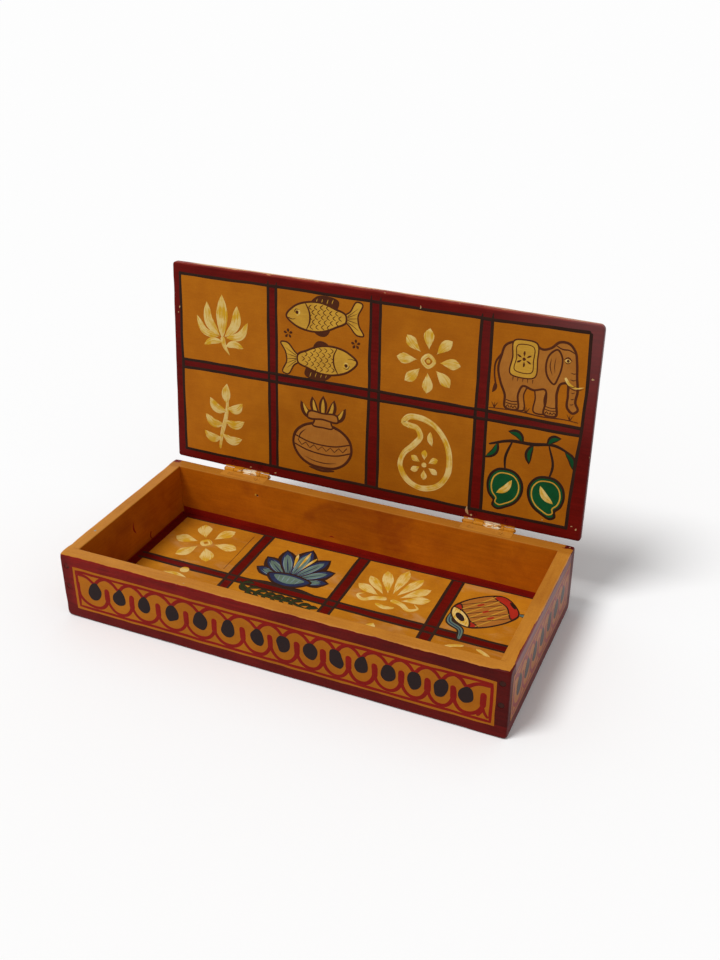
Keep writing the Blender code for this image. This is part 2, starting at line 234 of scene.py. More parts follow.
class Nodes:
    """Lays nodes in one shader tree."""

    def __init__(self, tree):
        self.tree = tree

    def add(self, kind, wires=None, **settings):
        """A new node with its settings. Each of its inputs takes a plain value or a link."""
        node = self.tree.nodes.new(kind)
        for name, value in settings.items():
            setattr(node, name, value)
        for name, value in (wires or {}).items():
            if isinstance(value, bpy.types.NodeSocket):
                self.tree.links.new(value, node.inputs[name])
            else:
                node.inputs[name].default_value = value
        return node

    def math(self, operation, first, second=0.0, third=0.0, clamp=False):
        wires = {0: first, 1: second, 2: third}
        return self.add("ShaderNodeMath", wires, operation=operation, use_clamp=clamp).outputs[0]

    def plus(self, first, second):
        return self.math("ADD", first, second)

    def minus(self, first, second):
        return self.math("SUBTRACT", first, second)

    def times(self, first, second):
        return self.math("MULTIPLY", first, second)

    def times_plus(self, first, factor, more, clamp=False):
        return self.math("MULTIPLY_ADD", first, factor, more, clamp)

    def vector(self, operation, first, second=(0, 0, 0)):
        node = self.add("ShaderNodeVectorMath", {0: first, 1: second}, operation=operation)
        return node.outputs["Value" if operation == "LENGTH" else "Vector"]

    def mix(self, share, first, second):
        return self.add("ShaderNodeMix", {0: share, 6: first, 7: second}, data_type="RGBA").outputs[2]

    def noise(self, vector, scale, detail=2.0, roughness=0.5, distortion=0.0):
        wires = {"Vector": vector, "Scale": scale, "Detail": detail}
        wires |= {"Roughness": roughness, "Distortion": distortion}
        return self.add("ShaderNodeTexNoise", wires).outputs[0]

    def streaks(self, vector, stretch, *look):
        """Noise that is drawn out along an axis."""
        return self.noise(self.vector("MULTIPLY", vector, stretch), 1, *look)

    def ramp(self, value, start, end, low=0.0, high=1.0):
        wires = {"Value": value, "From Min": start, "From Max": end, "To Min": low, "To Max": high}
        return self.add("ShaderNodeMapRange", wires, interpolation_type="SMOOTHSTEP").outputs[0]

    def split(self, vector):
        return self.add("ShaderNodeSeparateXYZ", {0: vector}).outputs

    def join(self, x=0.0, y=0.0, z=0.0):
        return self.add("ShaderNodeCombineXYZ", {0: x, 1: y, 2: z}).outputs[0]

    def group(self, tree, **wires):
        """An effect, with its inputs given by name."""
        named = {name.replace("_", " "): value for name, value in wires.items()}
        return self.add("ShaderNodeGroup", named, node_tree=tree).outputs


def effect(name, takes, gives):
    """A new shader node group: its tree, a builder for it, its inputs and its output node."""
    tree = bpy.data.node_groups.new(name, "ShaderNodeTree")
    for label, default in takes.items():
        kind = {3: "Vector", 4: "Color"}[len(default)] if isinstance(default, tuple) else "Float"
        socket = tree.interface.new_socket(label, in_out="INPUT", socket_type=f"NodeSocket{kind}")
        socket.default_value = default
    for label in gives:
        kind = "Color" if label == "Color" else "Float"
        tree.interface.new_socket(label, in_out="OUTPUT", socket_type=f"NodeSocket{kind}")
    nodes = Nodes(tree)
    return tree, nodes, nodes.add("NodeGroupInput").outputs, nodes.add("NodeGroupOutput").inputs


def send(nodes, sockets, **values):
    """Wires results to a group's outputs by name."""
    for name, value in values.items():
        nodes.tree.links.new(value, sockets[name])


def once(maker):
    """Keeps what a maker of node groups or materials has made, so that it is made once."""
    made = {}

    def get(*key):
        if key not in made:
            made[key] = maker(*key)
        return made[key]

    return get


# How brush lines are drawn out on a board that lies along the x axis
BOARD_STRETCH = (45, 620, 620)


@once
def coat_effect():
    """A coat of old brushed paint: patches, brush lines along the board, grain and small pits."""
    defaults = {
        "Vector": (0, 0, 0),
        "Stretch": BOARD_STRETCH,
        "Color": (0.5, 0.2, 0.03, 1),
        "Deep Color": (0.3, 0.1, 0.02, 1),
        "Patches": 0.5,
        "Brush Lines": 0.4,
        "Pits": 0.4,
        "Gloss": 0.42,
    }
    tree, nodes, takes, gives = effect("Painted coat", defaults, ("Color", "Roughness", "Height"))
    place = takes["Vector"]
    spread = nodes.minus(nodes.noise(place, 34, 4, 0.58, 0.4), 0.5)
    stroke = nodes.minus(nodes.streaks(place, takes["Stretch"], 4, 0.6, 0.25), 0.5)
    broad = nodes.minus(nodes.noise(place, 13), 0.5)
    fine = nodes.times(nodes.minus(nodes.noise(place, 900), 0.5), takes["Pits"])
    shade = nodes.times(nodes.times_plus(broad, 0.6, spread), takes["Patches"])
    shade = nodes.times_plus(stroke, takes["Brush Lines"], shade)
    shade = nodes.times_plus(fine, 0.5, shade)
    share = nodes.times_plus(shade, 2.4, 0.38, clamp=True)
    rough = nodes.times_plus(spread, 0.22, takes["Gloss"])
    rough = nodes.times_plus(stroke, 0.16, rough, clamp=True)
    height = nodes.plus(nodes.times(stroke, takes["Brush Lines"]), fine)
    tone = nodes.mix(share, takes["Color"], takes["Deep Color"])
    send(nodes, gives, Color=tone, Roughness=rough, Height=height)
    return tree


@once
def drag_effect():
    """Bristle marks that run along a brush stroke, thin where the brush ran dry."""
    defaults = {"Stroke": (0, 0, 0), "Bristles": 1.0, "Length": 0.07, "Contrast": 1.0}
    tree, nodes, takes, gives = effect("Bristle drag", defaults, ("Thin", "Height"))
    across, along, _ = nodes.split(takes["Stroke"])
    stretched = nodes.join(nodes.times(across, takes["Bristles"]), nodes.times(along, takes["Length"]))
    bristles = nodes.noise(stretched, 1.0, 3, 0.6, 0.2)
    pools = nodes.noise(takes["Stroke"], 0.11)
    thin = nodes.plus(bristles, nodes.times_plus(pools, 1.1, -0.55))
    thin = nodes.times_plus(nodes.minus(thin, 0.5), takes["Contrast"], 0.5, clamp=True)
    send(nodes, gives, Thin=nodes.ramp(thin, 0.28, 0.78), Height=nodes.minus(1.0, bristles))
    return tree


@once
def worn_effect():
    """Where a board's edges are rubbed: a broken mask along the edges of a block."""
    defaults = {
        "Vector": (0, 0, 0),
        "Centre": (0, 0, 0),
        "Half Size": (0.1, 0.1, 0.1),
        "Reach": 0.001,
        "Amount": 0.5,
    }
    tree, nodes, takes, gives = effect("Worn edges", defaults, ("Mask",))
    place = takes["Vector"]
    offset = nodes.vector("ABSOLUTE", nodes.vector("SUBTRACT", place, takes["Centre"]))
    x, y, z = nodes.split(nodes.vector("SUBTRACT", takes["Half Size"], offset))
    farther = nodes.math("MINIMUM", nodes.math("MAXIMUM", x, y), z)
    distance = nodes.math("MAXIMUM", nodes.math("MINIMUM", x, y), farther)
    near = nodes.math("DIVIDE", distance, takes["Reach"])
    rubbed = nodes.times_plus(takes["Amount"], 0.42, nodes.noise(place, 210, 3, 0.62))
    rubbed = nodes.times_plus(nodes.noise(place, 26), 0.5, rubbed)
    rubbed = nodes.minus(rubbed, nodes.times(near, 0.5))
    send(nodes, gives, Mask=nodes.ramp(rubbed, 1.0, 1.06))
    return tree


@once
def rim_effect():
    """Which coat a wall shows: red outside, ochre from a wavering line at the rim's outer edge."""
    defaults = {
        "Vector": (0, 0, 0),
        "Half Length": HALF_LENGTH,
        "Half Depth": HALF_DEPTH,
        "Top": TOP,
        "Waver": 0.0024,
    }
    tree, nodes, takes, gives = effect("Rim line", defaults, ("Ochre", "Inside", "Depth"))
    place = takes["Vector"]
    x, y, z = nodes.split(place)
    from_end = nodes.minus(takes["Half Length"], nodes.math("ABSOLUTE", x))
    from_side = nodes.minus(takes["Half Depth"], nodes.math("ABSOLUTE", y))
    inward = nodes.math("MINIMUM", from_end, from_side)
    depth = nodes.minus(takes["Top"], z)
    broad = nodes.minus(nodes.noise(place, 75), 0.47)
    fine = nodes.minus(nodes.noise(place, 330), 0.5)
    waver = nodes.times(nodes.times_plus(fine, 0.4, broad), takes["Waver"])
    level = nodes.plus(nodes.minus(inward, depth), waver)
    # The ochre stops short of the outer edge towards the front of the right end
    short = nodes.times(nodes.ramp(y, 0.012, -0.04), nodes.ramp(x, 0.14, 0.146))
    level = nodes.minus(level, nodes.times(short, 0.0014))
    over = nodes.ramp(level, -0.00018, 0.00004)
    well_in = nodes.ramp(inward, 0.004, 0.0045)
    down = nodes.ramp(nodes.plus(depth, nodes.times(waver, 0.5)), 0.0002, 0.0009)
    # The red laps over the rim at its two back corners
    behind = nodes.minus(takes["Half Depth"], y)
    lap = nodes.math("MAXIMUM", nodes.times(from_end, 0.46), nodes.times(behind, 0.62))
    kept = nodes.ramp(nodes.times_plus(fine, 0.0014, lap), 0.0026, 0.003)
    ochre = nodes.times(nodes.math("MAXIMUM", over, well_in), kept)
    send(nodes, gives, Ochre=ochre, Inside=nodes.times(down, well_in), Depth=depth)
    return tree


# Finishes


def shade_of(paint, share):
    """The deeper tone of a paint, where it lies thick or old."""
    red, green, blue = paint
    return (red * share, green * share * 0.86, blue * share * 0.8, 1.0)


def new_finish(name, specular):
    """A material with its Principled shader and a node builder for it."""
    material = bpy.data.materials.new(name)
    material.use_nodes = True
    shader = material.node_tree.nodes["Principled BSDF"]
    shader.inputs["Specular IOR Level"].default_value = specular
    return material, Nodes(material.node_tree), shader


def finish_with(nodes, shader, tone, roughness, height, relief):
    """Wires colour, roughness and relief into a shader. The relief is in metres."""
    bump = nodes.add("ShaderNodeBump", {"Height": height, "Strength": 1.0, "Distance": relief})
    wires = {"Base Color": tone, "Roughness": roughness, "Normal": bump.outputs[0]}
    for name, value in wires.items():
        nodes.tree.links.new(value, shader.inputs[name])


def object_place(nodes):
    """Object coordinates, in metres."""
    return nodes.add("ShaderNodeTexCoord").outputs["Object"]


def coat(nodes, place, paint, deep, patches, lines, pits=0.4, gloss=0.42, stretch=BOARD_STRETCH):
    """One coat of a paint, with its deeper tone."""
    return nodes.group(
        coat_effect(),
        Vector=place,
        Stretch=stretch,
        Color=(*paint, 1.0),
        Deep_Color=deep,
        Patches=patches,
        Brush_Lines=lines,
        Pits=pits,
        Gloss=gloss,
    )


def worn_edges(nodes, place, centre, half, reach):
    """Where the edges of a board are worn."""
    sides = {"Centre": centre, "Half_Size": half, "Reach": reach, "Amount": sizes().wear}
    return nodes.group(worn_effect(), Vector=place, **sides)["Mask"]


def wear_through(nodes, tone, mask):
    """The tone of a board whose paint has come off inside a mask."""
    return nodes.mix(mask, tone, (*paints().bare, 1.0))


def board_height(nodes, red, paled):
    """The relief of red paint, lower where it has come off."""
    return nodes.plus(red["Height"], nodes.times(paled, -1.2))


# Each brushed paint: gloss, patches, bristle contrast, share of the deep tone, relief
HABITS = {
    "ochre": (0.44, 0.70, 0.50, 0.72, 0.00006),
    "golden": (0.40, 0.90, 0.60, 0.70, 0.00006),
    "line": (0.46, 0.40, 0.90, 2.30, 0.00005),
    "scroll": (0.42, 0.50, 0.80, 0.60, 0.00006),
    "foot": (0.42, 0.70, 0.60, 0.50, 0.00006),
    "drop": (0.44, 0.40, 0.50, 1.60, 0.00005),
    "cream": (0.48, 0.30, 1.50, 0.00, 0.00010),
    "yellow": (0.46, 0.40, 1.10, 0.60, 0.00007),
    "tan": (0.48, 0.50, 0.90, 0.72, 0.00005),
    "brown": (0.48, 0.40, 1.10, 1.90, 0.00006),
    "blue": (0.44, 0.50, 0.90, 0.50, 0.00006),
    "pale_blue": (0.44, 0.50, 1.20, 0.55, 0.00006),
    "teal": (0.44, 0.50, 1.00, 0.55, 0.00006),
    "green": (0.42, 0.50, 0.90, 0.55, 0.00006),
    "leaf": (0.46, 0.50, 1.00, 0.50, 0.00006),
    "accent": (0.42, 0.50, 0.90, 0.60, 0.00006),
    "bare": (0.70, 0.60, 0.80, 0.60, 0.00006),
}

# Tones of age and use, and of painted light
THIN_CREAM = toned(208, 158, 34)
SHEEN_HAZE = toned(226, 196, 150)
STAIN = toned(128, 44, 14)
BACK_RIM_TONE = toned(150, 84, 12)
CORNER_REFLECTION = toned(172, 172, 172)
EDGE_HIGHLIGHT_RED = toned(160, 56, 38)
LIP_REFLECTION = toned(218, 168, 112)
THICK_OCHRE = linear(202, 132, 28)
THICK_SHADE = toned(150, 82, 20)
SPOT = toned(66, 34, 18)
PRIMER = toned(226, 202, 164)
BRIGHT_PRIMER = toned(240, 232, 214)
NAIL_RED = toned(108, 28, 22)
NAIL_SHADED = toned(66, 26, 20)
NAIL_STAIN = toned(54, 32, 25)

# Relief of the paint on the boards and on the metal, and how far in a board's edges are worn
BOARD_RELIEF = 0.00008
METAL_RELIEF = 0.00006
WALL_WEAR = 0.0012
LID_WEAR = 0.0016

# How far to the right of a hinge's middle its paint is rubbed
RUB_SHIFT = 0.0025


def sheen_hazed(nodes, place, tone):
    """A tone under thin, pale, streaky varnish, whose pale streaks are partly a painted reflection."""
    streaks = nodes.streaks(place, (26, 60, 60), 4, 0.65, 0.6)
    return nodes.mix(nodes.times(nodes.ramp(streaks, 0.54, 0.78), 0.22), tone, SHEEN_HAZE)


@once
def brushed(paint, sheen):
    """The finish of one brushed paint on a face of a given sheen."""
    gloss, patches, contrast, deep_share, relief = HABITS[paint]
    plain = getattr(paints(), paint)
    deep, patchy = shade_of(plain, deep_share), 1.0
    if paint == "cream":
        deep, patchy = THIN_CREAM, 0.3
    material, nodes, shader = new_finish(f"{paint}_brushed", sheen)
    place = object_place(nodes)
    stroke = nodes.add("ShaderNodeUVMap", uv_map="stroke").outputs[0]
    millimetres = nodes.vector("MULTIPLY", stroke, (MARK_SCALE, MARK_SCALE, 0))
    drag = nodes.group(drag_effect(), Stroke=millimetres, Bristles=1.5, Contrast=contrast)
    pits = 0.55 if paint in ("ochre", "golden") else 0.3
    base = coat(nodes, place, plain, deep, patches * patchy, 0.14, pits, gloss)
    if paint == "cream":
        share = nodes.times_plus(drag["Thin"], 0.84, 0.16)
    else:
        share = nodes.times(drag["Thin"], 0.5)
    tone = nodes.mix(share, base["Color"], deep)
    if paint == "golden":
        tone = sheen_hazed(nodes, place, tone)
    if paint == "ochre":
        # Painted shade: the ochre grows darker towards the right (higher x), more strongly at higher y
        x, y, _ = nodes.split(place)
        darkened = nodes.times(nodes.ramp(x, -0.13, -0.04), nodes.ramp(y, -0.02, 0.03, 0.10, 0.20))
        tone = nodes.mix(darkened, tone, shade_of(plain, 0.02))
    height = nodes.plus(base["Height"], nodes.times(drag["Height"], 0.7))
    finish_with(nodes, shader, tone, base["Roughness"], height, relief)
    return material


@once
def wall_finish(along, sheen):
    """The paint of a wall: red outside, ochre on the rim and orange inside, with painted shade on the long
    walls' red.
    """
    material, nodes, shader = new_finish(f"wall_paint_{along}", sheen)
    place = object_place(nodes)
    long_wall = along == "x"
    stretch = (40, 560, 560) if long_wall else (560, 40, 560)
    outside, top, inside = paints().red, paints().rim, paints().inside
    # The red is raised, the long walls' far more, so that the painted shade below can darken the long walls
    # towards their right end
    lit = [value * (2.1 if long_wall else 1.18) for value in outside]
    red = coat(nodes, place, lit, shade_of(outside, 0.66), 0.55, 0.45, 0.4, 0.38, stretch)
    ochre = coat(nodes, place, top, shade_of(top, 0.7), 0.6, 0.4, 0.5, 0.44, stretch)
    orange = coat(nodes, place, inside, shade_of(inside, 0.62), 0.75, 0.35, 0.4, 0.46, stretch)
    x, y, _ = nodes.split(place)
    stained = nodes.times(nodes.ramp(nodes.noise(place, 17, 4, 0.6, 0.8), 0.5, 0.72), 0.5)
    orange_tone = nodes.mix(stained, orange["Color"], STAIN)
    # Painted shade: the long walls' red darkens towards the right end, and is also darkened within about a
    # centimetre of the left end
    left_end_darker = nodes.times(nodes.ramp(x, 0.012 - HALF_LENGTH, 0.002 - HALF_LENGTH), 0.6)
    painted_shade = nodes.math("MAXIMUM", nodes.ramp(x, -HALF_LENGTH, HALF_LENGTH), left_end_darker)
    painted_shade = nodes.times(painted_shade, 0.65 if long_wall else 0.0)
    red_tone = nodes.mix(painted_shade, red["Color"], shade_of(outside, 0.02))
    # The rim is darkened towards the back
    darkened = nodes.times(nodes.ramp(y, INNER_DEPTH - 0.004, INNER_DEPTH), 0.45)
    rim_tone = nodes.mix(darkened, ochre["Color"], BACK_RIM_TONE)
    rim = nodes.group(rim_effect(), Vector=place)
    tone = nodes.mix(rim["Ochre"], red_tone, nodes.mix(rim["Inside"], rim_tone, orange_tone))
    centre, half = (0, 0, TOP / 2), (HALF_LENGTH, HALF_DEPTH, TOP / 2)
    paled = worn_edges(nodes, place, centre, half, WALL_WEAR)
    tone = wear_through(nodes, tone, paled)
    grime = nodes.ramp(rim["Depth"], TOP - FOOT - 0.003, TOP - FOOT)
    tone = nodes.mix(nodes.times(grime, 0.35), tone, shade_of(outside, 0.25))
    finish_with(nodes, shader, tone, red["Roughness"], board_height(nodes, red, paled), BOARD_RELIEF)
    return material


def lip_sheen(nodes, place, lip, tone):
    """A tone with a painted reflection round the lip's right end, a painted highlight along the lip and a
    pale painted reflection on its edge.
    """
    x, y, z = nodes.split(place)
    corner = (lip.x, lip.y, LID_MIDDLE.z)
    near = nodes.ramp(nodes.vector("LENGTH", nodes.vector("SUBTRACT", place, corner)), 0.12, 0.0)
    # Painted reflection: a pale grey sheen round the lip's right end
    tone = nodes.mix(nodes.times(nodes.times(near, near), 0.092), tone, CORNER_REFLECTION)
    aside = nodes.times(nodes.minus(y, lip.y), 2.6)
    away = nodes.vector("LENGTH", nodes.join(y=aside, z=nodes.times(nodes.minus(z, lip.z), 0.7)))
    distance = nodes.times_plus(nodes.streaks(place, (70, 400, 400), 4, 0.65), 0.0056, away)
    # Painted highlight: lighter red along the lip's edge
    tone = nodes.mix(nodes.times(nodes.ramp(distance, 0.0085, 0.0055), 0.5), tone, EDGE_HIGHLIGHT_RED)
    # Painted reflection: a pale tan line on the lip's edge, fading towards the right
    paled = nodes.times(nodes.ramp(distance, 0.0057, 0.0048), nodes.ramp(x, 0.11, 0.02, 0.4, 0.9))
    paled = nodes.times(paled, nodes.ramp(x, -0.142, -0.125))
    return nodes.mix(paled, tone, LIP_REFLECTION)


@once
def red_board_finish(name, centre, half, reach, sheen, lip=None):
    """Deep red paint on a whole board, rubbed along its edges, with painted highlights and reflections along
    its lip if it has one.
    """
    material, nodes, shader = new_finish(name, sheen)
    place = object_place(nodes)
    red = coat(nodes, place, paints().red, shade_of(paints().red, 0.6), 0.7, 0.75, 0.5, 0.38)
    paled, tone = worn_edges(nodes, place, centre, half, reach), red["Color"]
    if lip:
        paled = nodes.times(paled, nodes.ramp(nodes.split(place)[0], -0.02, 0.04))
        tone = lip_sheen(nodes, place, Vector(lip), tone)
    tone = wear_through(nodes, tone, paled)
    finish_with(nodes, shader, tone, red["Roughness"], board_height(nodes, red, paled), BOARD_RELIEF)
    return material


@once
def hinge_finish(owner):
    """Metal painted like the board it is on, with thick ochre and rubbed primer on the barrel."""
    material, nodes, shader = new_finish(f"painted_hinge_{owner}", WALL_SHEEN)
    place = object_place(nodes)
    board, deep, barrel = (paints().red, 0.6, 0.0044) if owner == "lid" else (paints().rim, 0.7, 0.0034)
    plate = coat(nodes, place, board, shade_of(board, deep), 0.7, 0.6)
    thick = coat(nodes, place, THICK_OCHRE, THICK_SHADE, 1.2, 0.2, 0.9, 0.36)
    x, y, z = nodes.split(place)
    from_pin = nodes.join(y=nodes.minus(y, HINGE_POINT.y), z=nodes.minus(z, HINGE_POINT.z))
    broken = nodes.streaks(place, (170, 700, 700), 3, 0.6)
    reach = nodes.times_plus(broken, 0.002, nodes.vector("LENGTH", from_pin))
    on_barrel = nodes.ramp(reach, barrel, barrel - 0.0006)
    middles = (RUB_SHIFT + HINGE_CENTRE, RUB_SHIFT - HINGE_CENTRE)
    from_rub = nodes.math("MINIMUM", *(nodes.math("ABSOLUTE", nodes.minus(x, at)) for at in middles))
    rubbed = nodes.times_plus(nodes.ramp(from_rub, 0.0068, 0.0038), 0.17, broken)
    primer, bright = nodes.ramp(rubbed, 0.62, 0.65), nodes.ramp(rubbed, 0.76, 0.79)
    spots = nodes.ramp(nodes.noise(nodes.vector("ADD", place, (0.3, 0.1, 0.2)), 330), 0.62, 0.65)
    spots = nodes.times(spots, nodes.ramp(from_rub, 0.014, 0.008))
    tone = nodes.mix(nodes.times(spots, 0.8), thick["Color"], SPOT)
    tone = nodes.mix(primer, tone, PRIMER)
    tone = nodes.mix(bright, tone, BRIGHT_PRIMER)
    tone = nodes.mix(on_barrel, plate["Color"], tone)
    height = nodes.minus(thick["Height"], nodes.times(primer, 0.8))
    finish_with(nodes, shader, tone, plate["Roughness"], height, METAL_RELIEF)
    return material


@once
def nail_finish():
    """A nail head under red paint, darker and duller than the board round it, with painted shade that
    darkens it towards the right.
    """
    material, nodes, shader = new_finish("painted_nail", WALL_SHEEN)
    place = object_place(nodes)
    stain = nodes.noise(place, 900, 3, 0.6)
    # Painted shade: the nail heads darken towards the right end, like the long walls' red
    painted_shade = nodes.ramp(nodes.split(place)[0], -HALF_LENGTH, HALF_LENGTH)
    stained = nodes.ramp(nodes.times_plus(painted_shade, 0.04, stain), 0.46, 0.66)
    tone = nodes.mix(stained, nodes.mix(painted_shade, NAIL_RED, NAIL_SHADED), NAIL_STAIN)
    finish_with(nodes, shader, tone, nodes.times_plus(stain, 0.3, 0.35), stain, METAL_RELIEF)
    return material


# Boards

# Edges that turn more than this stay sharp
SHARP_ABOVE = math.radians(35)


def cover(mesh, material):
    """Gives a mesh its material, and makes it smooth where it is round."""
    mesh.materials.append(material)
    mesh.shade_smooth()
    mesh.set_sharp_from_angle(angle=SHARP_ABOVE)


def give_mesh(name, vertices, faces, material):
    """A mesh from plain lists, with faces that point out."""
    mesh = bpy.data.meshes.new(name)
    mesh.from_pydata(vertices, [], faces)
    shape = bmesh.new()
    shape.from_mesh(mesh)
    bmesh.ops.recalc_face_normals(shape, faces=shape.faces)
    shape.to_mesh(mesh)
    shape.free()
    cover(mesh, material)
    return mesh


def give_object(name, mesh, placement=STILL):
    """An object for a mesh, linked into the scene."""
    thing = bpy.data.objects.new(name, mesh)
    thing.matrix_world = placement
    bpy.context.scene.collection.objects.link(thing)
    return thing


# How far from an edge of a board its closer grid lines lie
EDGE_OFFSETS = (0.0002, 0.0005, 0.0009, 0.0014, 0.002, 0.0028, 0.0038)


def marks_between(low, high):
    """Places for a board's grid lines along one axis, close together near both ends."""
    offsets = [offset for offset in EDGE_OFFSETS if offset < (high - low) / 2 - 0.0003]
    near = [low + offset for offset in offsets]
    far = [high - offset for offset in reversed(offsets)]
    count = max(1, round((far[0] - near[-1]) / BOARD_PITCH))
    inner = [near[-1] + (far[0] - near[-1]) * step / count for step in range(1, count)]
    return [low, *near, *inner, *far, high]


def block_lattice(low, high):
    """The vertices and faces of a finely divided block."""
    marks = [marks_between(low[axis], high[axis]) for axis in range(3)]
    last = [len(places) - 1 for places in marks]
    index = {}
    faces = []
    for axis in range(3):
        first, second = [other for other in range(3) if other != axis]
        for side, i, j in product((0, last[axis]), range(last[first]), range(last[second])):
            corners = []
            for di, dj in ((0, 0), (1, 0), (1, 1), (0, 1)):
                key = [0, 0, 0]
                key[axis], key[first], key[second] = side, i + di, j + dj
                corners.append(index.setdefault(tuple(key), len(index)))
            faces.append(corners)
    return [Vector(marks[axis][key[axis]] for axis in range(3)) for key in index], faces


def ease(point, low, high, rounding):
    """Moves a point of a block onto its hand-sanded, slightly uneven edges and softer corners."""
    uneven = 1 + 0.35 * noise.noise(point * 48) + 0.25 * noise.noise(point * 150)
    dent = max(0.0, noise.noise(point * 95 + Vector((7, 3, 1))) - 0.42) * 0.0022
    for sides, radius, spans in rounding:
        if not spans(point):
            continue
        near = []
        for side in sides:
            axis, sign = "xyz".index(side[0]), 1 if side[1] == "+" else -1
            near.append((high[axis] - point[axis] if sign > 0 else point[axis] - low[axis], axis, sign))
        near.sort()
        corner = max(0.0, 1 - near[2][0] / CORNER_REACH) if len(near) > 2 else 0.0
        reach = radius * (uneven + 0.8 * corner) + (dent if radius > 0.0006 else 0.0)
        gaps = [(axis, sign, reach - away) for away, axis, sign in near if away < reach]
        size = math.hypot(*(gap for _, _, gap in gaps))
        if len(gaps) > 1 and size > reach:
            for axis, sign, gap in gaps:
                point[axis] += sign * gap * (reach / size - 1)
    return point


def everywhere(_point):
    return True


def between_ends(point):
    return abs(point.x) < INNER_LENGTH - 0.0002


def make_board(name, body, node, low, high, rounding, material, placement=STILL):
    """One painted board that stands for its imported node."""
    vertices, faces = block_lattice(low, high)
    vertices = [ease(vertex, low, high, rounding) for vertex in vertices]
    board = give_object(name, give_mesh(name, vertices, faces, material), placement)
    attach(board, body)
    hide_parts(node)
    return board


def box_of(low, high):
    """Vertices and faces of a plain block, for a cutter."""
    vertices = list(product(*zip(low, high)))
    faces = [(0, 1, 3, 2), (4, 6, 7, 5), (0, 4, 5, 1), (2, 3, 7, 6), (0, 2, 6, 4), (1, 5, 7, 3)]
    return vertices, faces


# The round recess over a nail head
NAIL_RECESS_RADIUS = 0.0021
NAIL_RECESS_DEPTH = 0.0003
NAIL_RECESS_SIDES = 28


def nail_recess(centre, out):
    """Vertices and faces of a round cutter that reaches into a board from a point."""
    turn = Vector(out).to_track_quat("Z", "Y").to_matrix()
    sides = NAIL_RECESS_SIDES
    vertices = []
    for height in (-NAIL_RECESS_DEPTH, 0.001):
        for step in range(sides):
            angle = 2 * math.pi * step / sides
            x, y = NAIL_RECESS_RADIUS * math.cos(angle), NAIL_RECESS_RADIUS * math.sin(angle)
            vertices.append(centre + turn @ Vector((x, y, height)))
    faces = [tuple(reversed(range(sides))), tuple(range(sides, 2 * sides))]
    for step in range(sides):
        after = (step + 1) % sides
        faces.append((step, after, sides + after, sides + step))
    return vertices, faces


def carve(board, cutters):
    """Cuts shapes out of a board."""
    vertices, faces = [], []
    for cut_vertices, cut_faces in cutters:
        start = len(vertices)
        vertices.extend(cut_vertices)
        faces.extend(tuple(start + index for index in face) for face in cut_faces)
    material = board.data.materials[0]
    tool = give_object("cutter", give_mesh("cutter", vertices, faces, material), board.matrix_world)
    cut = board.modifiers.new("carve", "BOOLEAN")
    cut.operation = "DIFFERENCE"
    cut.solver = "EXACT"
    cut.object = tool
    bpy.context.view_layer.update()
    carved = bpy.data.meshes.new_from_object(board.evaluated_get(bpy.context.evaluated_depsgraph_get()))
    board.modifiers.clear()
    board.data = carved
    carved.materials.clear()
    cover(carved, material)
    bpy.data.objects.remove(tool)


# How loosely and how deeply a hinge leaf sits, and how far its cutter reaches past the board
SEAT_PLAY = 0.0001
SEAT_DEPTH = 0.0012
CUT_PAST = 0.003


def seat_cutter(side, owner):
    """The recess of one hinge leaf, from the leaf's own plate."""
    placement, face, into = (SHUT, LID_LOW.z, 1) if owner == "lid" else (STILL, TOP, -1)
    low, high = corners_of(f"{side}_hinge_{owner}_leaf", placement)
    bottom, top = sorted((face + into * SEAT_DEPTH, face - into * CUT_PAST))
    start = Vector((low.x - SEAT_PLAY, low.y - SEAT_PLAY, bottom))
    return box_of(start, Vector((high.x + SEAT_PLAY, HALF_DEPTH + CUT_PAST, top)))


def nail_cutters(names, out):
    """Shallow round recesses over nail heads that lie just under a face."""
    cutters = []
    for name in names:
        low, high = corners_of(name)
        middle = (low + high) / 2
        middle[2 if out[2] else 1] = out[1] * HALF_DEPTH
        cutters.append(nail_recess(middle, out))
    return cutters


def nails(start, kind, count):
    """The names of a row of nails."""
    return [f"{start}_{kind}_nail_{number}" for number in range(1, count + 1)]


# The long walls: outer side, inner side, which way the outer side faces, and how round its edges are
LONG_WALLS = (("front", "y-", "y+", -1, 1.0), ("back", "y+", "y-", 1, 0.7))
# The ends: outer side, inner side and sheen
ENDS = (("left_end", "x-", "x+", WALL_SHEEN), ("right_end", "x+", "x-", GLANCING))
# How many nails go up through the base board into each wall
BASE_NAILS = {"front": 4, "back": 4, "left": 2, "right": 2}


